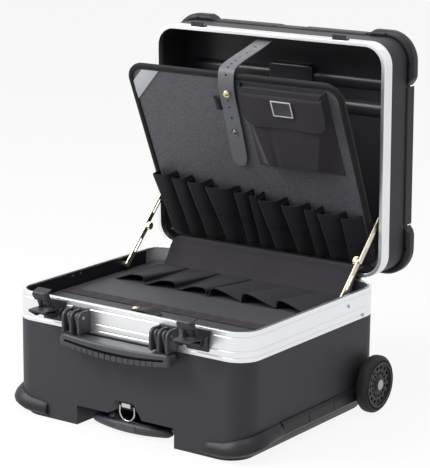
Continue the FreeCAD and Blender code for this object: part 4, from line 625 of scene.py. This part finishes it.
# Band of elastic along the base panel, sewn down into loops by red bar tacks about every 30 mm.
# It lies flat at the tacks and rises a little between them.
def woven(name, colour, thread, depth, sheen):
    """Plain weave with threads a given pitch apart, laid along the cloth by its own map in metres."""
    material, tree, shader, coords = new_finish(name)
    shader.inputs["Roughness"].default_value = 0.72
    shader.inputs["Sheen Weight"].default_value = sheen
    shader.inputs["Sheen Roughness"].default_value = 0.45
    shader.inputs["Specular IOR Level"].default_value = 0.18
    threads = [bands(tree, coords["UV"], direction, thread, 0.4) for direction in ("X", "Y")]
    uneven_tone(tree, shader, clouds(tree, coords["Object"], 14, 4), colour, 0.25)
    relief(tree, shader, worked_out(tree, "MULTIPLY", *threads), 0.5, depth)
    return material


def sewn(name, across, along, place, thick, material):
    """A sheet of cloth from a flat grid, whose points go where place says for their shares across and along it.
    Gives the piece and the flat area of its cut."""
    bpy.ops.mesh.primitive_grid_add(x_subdivisions=across, y_subdivisions=along, size=1)
    piece = bpy.context.object
    piece.name = name
    shares = [(point.co.x + 0.5, point.co.y + 0.5) for point in piece.data.vertices]
    for point, (u, v) in zip(piece.data.vertices, shares):
        point.co = place(u, v)
    width = (Vector(place(1, 0.5)) - Vector(place(0, 0.5))).length
    length = (Vector(place(0.5, 1)) - Vector(place(0.5, 0))).length
    cloth_map = piece.data.uv_layers.active.data
    for corner in piece.data.loops:
        u, v = shares[corner.vertex_index]
        cloth_map[corner.index].uv = (u * width, v * length)
    cut = sum(face.area for face in piece.data.polygons)
    wall = piece.modifiers.new("wall", "SOLIDIFY")
    wall.thickness = thick
    wall.offset = 0
    bpy.ops.object.modifier_apply(modifier="wall")
    face_out(weld=1e-6)
    coat(piece, material, 50)
    return piece, cut


panel_top, loop_count, loop_rise = 0.1885, 15, 0.0007
band_half, band_middle, band_wide = 0.222, -0.0785, 0.030
tack_half_wide, tack_half_long, tack_half_high, tack_height = 0.0004, 0.0135, 0.0003, 0.0013
nylon = woven("black_nylon", (0.0165, 0.0142, 0.0175), 0.0009, 0.0002, 0.08)
elastic = woven("elastic_band", (0.019, 0.017, 0.02), 0.0014, 0.0002, 0.12)


def band_place(u, v):
    loop = math.sin(math.pi * u * loop_count) ** 2
    return Vector((band_half * (2 * u - 1), band_middle + band_wide * (v - 0.5), panel_top + 0.0006 + loop_rise * loop))


band, band_cut = sewn("panel_elastic", loop_count * 12, 6, band_place, 0.0009, elastic)
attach(band, "base")
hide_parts("panel_band")
tack_low = Vector((-band_half, band_middle - tack_half_long, panel_top + tack_height - tack_half_high))
tack = block("red_tacks", tack_low - Vector((tack_half_wide, 0, 0)),
             tack_low + Vector((tack_half_wide, 2 * tack_half_long, 2 * tack_half_high)))
round_off(tack, range(len(tack.data.edges)), 0.00025, 1)
gather([tack] + [again(tack, (2 * band_half / loop_count * number, 0, 0)) for number in range(1, loop_count)])
red_thread = moulded("red_thread", (0.24, 0.026, 0.03), 0.6, 0.0006, 0.0001)
tack.data.materials.append(red_thread)
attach(tack, "base")


# Tab of the base panel: a leather tongue with round ends, arched over the board.
# A brass snap holds it at its left.
def tongue(share, ends):
    """Half the width of a strip with round ends, as a share, at a share along it."""
    edge = (abs(2 * share - 1) - (1 - ends)) / ends
    return math.sqrt(max(1 - edge * edge, 0.02)) if edge > 0 else 1


tab_middle, tab_depth, tab_long, tab_wide, tab_rise = -0.022, -0.1185, 0.062, 0.024, 0.005
tab_leather = moulded("tab_leather", (0.028, 0.028, 0.031), 0.5, 0.0012, 0.00012)


def tab_place(u, v):
    return Vector((tab_middle + tab_long * (u - 0.5), tab_depth + tab_wide * tongue(u, 0.38) * (v - 0.5),
                   panel_top + 0.0014 + tab_rise * math.sin(math.pi * u) ** 2))


tab, tab_cut = sewn("panel_tongue", 28, 6, tab_place, 0.0022, tab_leather)
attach(tab, "base")
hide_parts("panel_tab")
brass = plated("snap_brass", (0.78, 0.66, 0.42), 0.26, 400)


def snap(name, place, facing, body, size, metal):
    """A press snap: a rolled ring round a domed cap, set on a sheet at place and facing outwards."""
    cap = rod(name, size, size * 0.36, (0, 0, 0), (0, 0, 0), 28)
    pick(cap, faces=[face.index for face in cap.data.polygons if face.normal.z > 0.9])
    for inset_share, rise_share in ((0.26, -0.14), (0.12, 0.3), (0.3, 0.1)):
        bpy.ops.mesh.inset(thickness=size * inset_share)
        bpy.ops.transform.translate(value=(0, 0, size * rise_share))
    bpy.ops.mesh.select_all(action="SELECT")
    bpy.ops.mesh.bevel(offset=size * 0.05, segments=2)
    bpy.ops.object.mode_set(mode="OBJECT")
    cap.data.transform(Matrix.Translation(place) @ facing.to_track_quat("Z", "Y").to_matrix().to_4x4())
    coat(cap, metal, 40)
    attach(cap, body)
    return cap


tab_snap = snap("tab_snap", Vector((tab_middle - tab_long * 0.34, tab_depth, panel_top + 0.0055)),
                Vector((-0.2, 0, 1)), "base", 0.0072, brass)


# Tool pockets of the base panel: one gathered sheet of nylon, sewn down at its toe and between the pockets.
# Its mouths stand open to the front. The left ones lean to the right and the right ones to the left.
def drawn_through(points, share):
    """The point at a share of a smooth line through points, which stand equal shares apart."""
    last = len(points) - 1
    step = min(int(share * last), last - 1)
    s = share * last - step
    a, b, c, d = (Vector(points[min(max(step + k, 0), last)]) for k in (-1, 0, 1, 2))
    return 0.5 * (2 * b + (c - a) * s + (2 * a - 5 * b + 4 * c - d) * s * s + (3 * b - a - 3 * c + d) * s ** 3)


base_row_half, base_toe, base_mouth = 0.205, 0.1680, 0.0326
leaning_right = ((0, 0.03), (0.13, 0.14), (0.3, 0.5), (0.5, 0.86), (0.72, 0.98), (0.87, 0.92), (0.935, 0.62),
                 (0.925, 0.26), (0.96, 0.07), (1, 0.03))
leaning_left = ((0, 0.03), (0.02, 0.3), (0.035, 0.7), (0.09, 0.97), (0.2, 1.02), (0.42, 0.8), (0.64, 0.5),
                (0.84, 0.2), (0.95, 0.06), (1, 0.03))
base_folds = (leaning_right, leaning_right, leaning_right, leaning_left, leaning_left, leaning_left)
base_swells = (0.013, 0.0135, 0.013, 0.014, 0.0165, 0.0145)
base_count, toe_swell = len(base_folds), 0.0022


def base_pocket_place(u, v):
    number = min(int(u * base_count), base_count - 1)
    fold = drawn_through(base_folds[number], u * base_count - number)
    open_share = (1 - v) ** 1.15
    swell = toe_swell + (base_swells[number] - toe_swell) * open_share
    hem = 0.0004 if v < 0.07 else 0
    ripple = 0.0012 * math.sin(9 * v + 5 * number) * fold.y * v
    return Vector((base_row_half * (2 * (number + fold.x) / base_count - 1) + ripple,
                   base_mouth + (base_toe - base_mouth) * v + 0.0025 * math.sin(4 * u * base_count) * open_share,
                   panel_top + 0.0012 + swell * fold.y + hem))


base_row, base_row_cut = sewn("base_tool_pockets", base_count * 22, 30, base_pocket_place, 0.0012, nylon)
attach(base_row, "base")
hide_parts("base_pockets")

# Cloth over the hinge: a soft roll of brownish-black nylon, sewn to the panel behind its pockets.
# It runs up over the hinge to the lid's rim, under the foot of the pallet.
hinge_cloth_half = 0.198
hinge_cloth_line = ((0.1695, 0.1900), (0.1765, 0.1985), (0.1840, 0.2090), (0.1905, 0.2195), (0.1975, 0.2280),
                    (0.2090, 0.2325), (0.2195, 0.2340))
hinge_nylon = woven("hinge_nylon", (0.028, 0.0235, 0.03), 0.0009, 0.00015, 0.2)


def hinge_cloth_place(u, v):
    line = drawn_through(hinge_cloth_line, v)
    slack = 0.0014 * math.sin(7 * u + 2 * v) * math.sin(math.pi * v)
    return Vector((hinge_cloth_half * (2 * u - 1), line.x - slack * 0.6, line.y + slack))


hinge_cloth, hinge_cut = sewn("hinge_cloth", 60, 28, hinge_cloth_place, 0.0014, hinge_nylon)
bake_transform(hinge_cloth)
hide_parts("hinge_gusset")

# Binding of the pallet: black tape folded round the board's edge and sewn through, with round corners.
# The pallet is drawn as it lies with the lid shut, and turned into place with the open lid and its own tilt.
hinge_line = Matrix.Translation((0, 0.2075, 0.21525))
pallet_line = Matrix.Translation((0, 0.1825, 0.2415))
lid_place = hinge_line @ Matrix.Rotation(-lid_turn, 4, "X") @ hinge_line.inverted()
pallet_place = lid_place @ pallet_line @ Matrix.Rotation(math.radians(22.5), 4, "X") @ pallet_line.inverted()
board_half, board_top, board_foot, board_corner, board_face = 0.222, -0.1775, 0.1885, 0.034, 0.239


def on_pallet(across, down, out):
    """A point of the leaning pallet: across it, down its face as measured with the lid shut, and out from it."""
    return pallet_place @ Vector((across, down, board_face - out))


def round_outline(share, inset):
    """A point of the board's outline with round corners, moved in from its edge."""
    wide, high = board_half - board_corner, (board_foot - board_top) / 2 - board_corner
    middle = (board_foot + board_top) / 2
    arc = quarter_turn * board_corner
    runs = (2 * wide, arc, 2 * high, arc) * 2
    far = (share % 1) * sum(runs)
    radius = board_corner - inset
    for number, run in enumerate(runs):
        if far <= run or number == 7:
            break
        far -= run
    quarter = number // 2
    turn = quarter_turn * (quarter + (far / arc if number % 2 else 0)) - quarter_turn
    centres = (Vector((-wide, -high)), Vector((wide, -high)), Vector((wide, high)), Vector((-wide, high)))
    centre = centres[(quarter + number % 2) % 4]
    if number % 2 == 0:
        centre = centre + Vector(((1, 0), (0, 1), (-1, 0), (0, -1))[quarter]) * far
    return centre + Vector((0, middle)) + radius * Vector((math.cos(turn), math.sin(turn)))


tape_section = ((0.0080, -0.0056), (0.0030, -0.0060), (0.0002, -0.0058), (-0.0004, -0.0035), (-0.0004, -0.0008),
                (0.0003, 0.0012), (0.0028, 0.0021), (0.0062, 0.0020), (0.0086, 0.0012), (0.0092, 0.0002))


def tape_place(u, v):
    inset, out = drawn_through(tape_section, v)
    edge = round_outline(u, inset)
    return on_pallet(edge.x, edge.y, out)


binding_tape = woven("binding_tape", (0.011, 0.011, 0.012), 0.0016, 0.0003, 0.08)
tape, tape_cut = sewn("pallet_tape", 240, 18, tape_place, 0.0007, binding_tape)
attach(tape, "pallet")
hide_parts("pallet_binding")

# Tool pockets of the pallet: a sheet of nylon sewn into eleven pockets of uneven width, with open mouths.
# Each has a crease down its left, folds under the next at its right, and is doubled down to a seam.
row_toe, mouth_left, mouth_right, row_high, seam_below = 0.1790, 0.0370, 0.0790, 0.121, 0.059
mouth_out, toe_out = 0.0175, 0.0095
fold_mouths = (-0.213, -0.172, -0.138, -0.099, -0.041, -0.010, 0.012, 0.058, 0.103, 0.131, 0.176, 0.2085)
fold_toes = (-0.206, -0.169, -0.132, -0.087, -0.043, -0.016, 0.019, 0.066, 0.102, 0.133, 0.172, 0.2075)
mouth_fold = ((0.07, 0.02), (0.03, 0.3), (-0.02, 0.7), (-0.03, 0.93), (0.0, 1.01), (0.1, 1.0), (0.3, 0.98),
              (0.5, 0.94), (0.68, 0.86), (0.82, 0.64), (0.92, 0.33), (0.99, 0.1), (1.07, 0.02))
toe_fold = ((0.07, 0.02), (0.02, 0.32), (-0.02, 0.72), (-0.03, 0.95), (0.0, 1.02), (0.06, 1.0), (0.17, 0.95),
            (0.3, 0.86), (0.45, 0.62), (0.6, 0.34), (0.75, 0.14), (0.92, 0.05), (1.07, 0.02))
pocket_swells = (1.05, 1, 1, 1.05, 0.85, 0.8, 1.1, 1, 0.85, 0.95, 0.8)
pocket_count = len(pocket_swells)


def pallet_pocket_place(u, v):
    number = min(int(u * pocket_count), pocket_count - 1)
    share = u * pocket_count - number
    fold = drawn_through(mouth_fold, share).lerp(drawn_through(toe_fold, share), v)
    swell = (mouth_out * (1 - v) + toe_out * v) * pocket_swells[number]
    swell *= min((1 - v) / 0.05, 1) ** 0.5
    left = fold_mouths[number] * (1 - v) + fold_toes[number] * v
    right = fold_mouths[number + 1] * (1 - v) + fold_toes[number + 1] * v
    across = left + (right - left) * fold.x
    mouth_share = (across - fold_mouths[0]) / (fold_mouths[-1] - fold_mouths[0])
    mouth = mouth_left + (mouth_right - mouth_left) * mouth_share
    mouth += 0.007 * (1 - min(max(fold.x, 0), 1)) * (1 - v)
    down = mouth + (row_toe - mouth) * v
    below_mouth = down - mouth
    doubled = 0.0007 if below_mouth < seam_below else 0
    seam = 0.0007 * math.exp(-((below_mouth - seam_below) / 0.0014) ** 2)
    return on_pallet(across, down, 0.0012 + swell * fold.y + doubled + seam)


pallet_row, pallet_row_cut = sewn("pallet_tool_pockets", pocket_count * 20, 84, pallet_pocket_place, 0.0011, nylon)
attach(pallet_row, "pallet")
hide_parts("pallet_pockets")

# Flap pocket: a bellows pocket of nylon, sewn to the pallet beside the strap, with a tapered front.
# Its sides fold in like a bellows, and a stitched flap hangs over its mouth.
bag_left, bag_right, bag_top, bag_foot, bag_out = 0.0205, 0.1935, -0.1640, 0.0015, 0.0140
bag_nylon = woven("bag_nylon", (0.028, 0.0235, 0.0295), 0.0008, 0.00015, 0.14)


def bag_place(u, v):
    left, right = 0.02 + 0.16 * v, 0.98 - 0.23 * v
    side = min(u / left, (1 - u) / (1 - right), 1)
    rise = side ** 1.7 if side < 1 else 1
    foot = min((1 - v) / 0.07, 1)
    crown = 0.0016 * math.sin(math.pi * u) * math.sin(math.pi * v)
    crease = 0.0012 * math.exp(-((u - left - 0.1 - 0.2 * (1 - v)) / 0.03) ** 2) * v
    out = 0.001 + bag_out * rise * foot ** 0.6 + crown - crease
    return on_pallet(bag_left + (bag_right - bag_left) * u, bag_top + (bag_foot - bag_top) * v, out)


bag, bag_cut = sewn("bellows_pocket", 72, 60, bag_place, 0.0012, bag_nylon)
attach(bag, "pallet")
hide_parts("flap_pocket")
flap_left, flap_right, flap_top, flap_drop, flap_corner, flap_high = 0.0255, 0.1905, -0.1595, 0.0670, 0.022, 0.077


def flap_place(u, v):
    across = (flap_right - flap_left) * min(u, 1 - u)
    lift = flap_corner - math.sqrt(max(flap_corner ** 2 - max(flap_corner - across, 0) ** 2, 0))
    down = flap_drop * v - lift * v
    root = min(v / 0.16, 1)
    hem = 0.0005 * math.exp(-((v - 0.93) / 0.02) ** 2)
    out = 0.0022 + (bag_out + 0.0012) * math.sin(root * quarter_turn) + 0.0018 * math.sin(math.pi * u)
    curl = 0.0016 * v * v * math.cos(2.6 * math.pi * (u - 0.1))
    return on_pallet(flap_left + (flap_right - flap_left) * u, flap_top + down, out + curl - hem)


flap, flap_cut = sewn("bellows_flap", 64, 30, flap_place, 0.0016, bag_nylon)
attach(flap, "pallet")
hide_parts("pocket_flap")

# Plate on the flap: a bare dark plate in a raised pale frame.
# It is riveted through the cloth.
plate_middle, plate_down, plate_half_wide, plate_half_high, plate_half_thick = 0.1105, -0.1330, 0.0200, 0.0150, 0.0008
plate_out, frame_wide, frame_edge, frame_proud = 0.0215, 0.0022, 0.0021, 0.0005
plate = block("flap_plate", (-plate_half_wide, -plate_half_high, -plate_half_thick),
              (plate_half_wide, plate_half_high, plate_half_thick))
pick(plate, faces=[face.index for face in plate.data.polygons if face.normal.z < -0.9])
bpy.ops.mesh.inset(thickness=frame_wide)
bpy.ops.transform.translate(value=(0, 0, frame_proud))
bpy.ops.object.mode_set(mode="OBJECT")
ease_edges(plate, 0.0003)
plate.data.materials.append(moulded("plate_frame", (0.52, 0.53, 0.54), 0.4, 0.0012, 0.00003))
plate.data.materials.append(moulded("plate_dark", (0.05, 0.05, 0.053), 0.42, 0.0012, 0.00005))
for face in plate.data.polygons:
    past_frame = [half - frame_edge - abs(place)
                  for half, place in zip((plate_half_wide, plate_half_high), face.center)]
    face.material_index = 1 if min(past_frame) > 0 else 0
plate.data.transform(pallet_place @ Matrix.Translation((plate_middle, plate_down, board_face - plate_out)))
bpy.ops.object.shade_smooth_by_angle(angle=math.radians(30))
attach(plate, "pallet")

# Corner patch: a pale grey strip of cloth across the pallet's upper left corner, left bare.
# Its ends are sewn under the binding.
patch_corners = (((-0.2127, -0.1432), (-0.2127, -0.1062)), ((-0.1877, -0.1682), (-0.1507, -0.1682)))
patch_cloth = woven("patch_cloth", (0.46, 0.47, 0.49), 0.0012, 0.0001, 0.1)


def patch_place(u, v):
    (a, b), (c, d) = patch_corners
    near, far = Vector(a).lerp(Vector(c), u), Vector(b).lerp(Vector(d), u)
    spot = near.lerp(far, v)
    return on_pallet(spot.x, spot.y, 0.0009 + 0.0006 * math.sin(math.pi * v))


patch, patch_cut = sewn("bare_patch", 24, 14, patch_place, 0.0008, patch_cloth)
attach(patch, "pallet")
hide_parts("corner_patch")

# Strap: a grey leather strap from the lid's rim, over the top of the pallet and down its face.
# It has a row of holes, a brass snap below the pallet's top edge, an eyelet further down and a round end.
strap_wide, hole_radius = 0.032, 0.0021
rim_end = Vector((-0.0085, 0.2085, 0.6128))
strap_bend = on_pallet(-0.0020, -0.1868, -0.0100)
strap_line = [rim_end, Vector((-0.0070, 0.1593, 0.5993)), Vector((-0.0040, 0.1195, 0.5904)), strap_bend]
strap_line += [on_pallet(across, down, out) for across, down, out in (
    (-0.0012, -0.1830, 0.0015), (-0.0020, -0.1705, 0.0075), (-0.0045, -0.1560, 0.0088), (-0.0075, -0.1400, 0.0070),
    (-0.0110, -0.1130, 0.0046), (-0.0130, -0.0800, 0.0040), (-0.0155, -0.0420, 0.0038), (-0.0200, 0.0080, 0.0036))]


def strap_place(u, v):
    spot = drawn_through(strap_line, v)
    half = strap_wide / 2 * tongue(0.5 + v / 2, 0.05)
    return spot + Vector((half * (2 * u - 1), 0, 0))


strap_leather = moulded("strap_leather", (0.135, 0.137, 0.15), 0.5, 0.0013, 0.0001)
strap, strap_cut = sewn("pallet_belt", 10, 120, strap_place, 0.0022, strap_leather)
hole_shares = (0.06, 0.115, 0.165, 0.205, 0.245, 0.29, 0.40, 0.682, 0.725, 0.788)
punches = []
for share in hole_shares:
    run = strap_place(0.5, share + 0.01) - strap_place(0.5, share - 0.01)
    facing = run.cross(Vector((1, 0, 0))).to_track_quat("Z", "Y").to_euler()
    punches.append(rod("punch", hole_radius, 0.012, strap_place(0.5, share), facing, 14))
cut_away(strap, gather(punches))
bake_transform(strap)
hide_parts("pallet_strap")
black_nickel = plated("eyelet_black_nickel", (0.2, 0.2, 0.21), 0.3, 300)
off_board = (on_pallet(0, 0, 1) - on_pallet(0, 0, 0)).normalized()
strap_snap = snap("strap_snap", on_pallet(-0.0070, -0.1445, 0.0102), off_board, "pallet", 0.0072, brass)
strap_eyelet = snap("strap_eyelet", on_pallet(-0.0140, -0.0620, 0.0052), off_board, "pallet", 0.0064, black_nickel)

# Pen loop beside the strap: a short piece of black webbing.
# It is arched over the board and sewn down along both its sides.
loop_middle, loop_top, loop_half, loop_long, loop_out = -0.0335, -0.1300, 0.0085, 0.0220, 0.0075


def loop_place(u, v):
    turn = math.pi * u
    return on_pallet(loop_middle - loop_half * math.cos(turn), loop_top + loop_long * v,
                     0.0008 + loop_out * math.sin(turn))


pen_loop, pen_loop_cut = sewn("pen_loop", 16, 6, loop_place, 0.0014, elastic)
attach(pen_loop, "pallet")
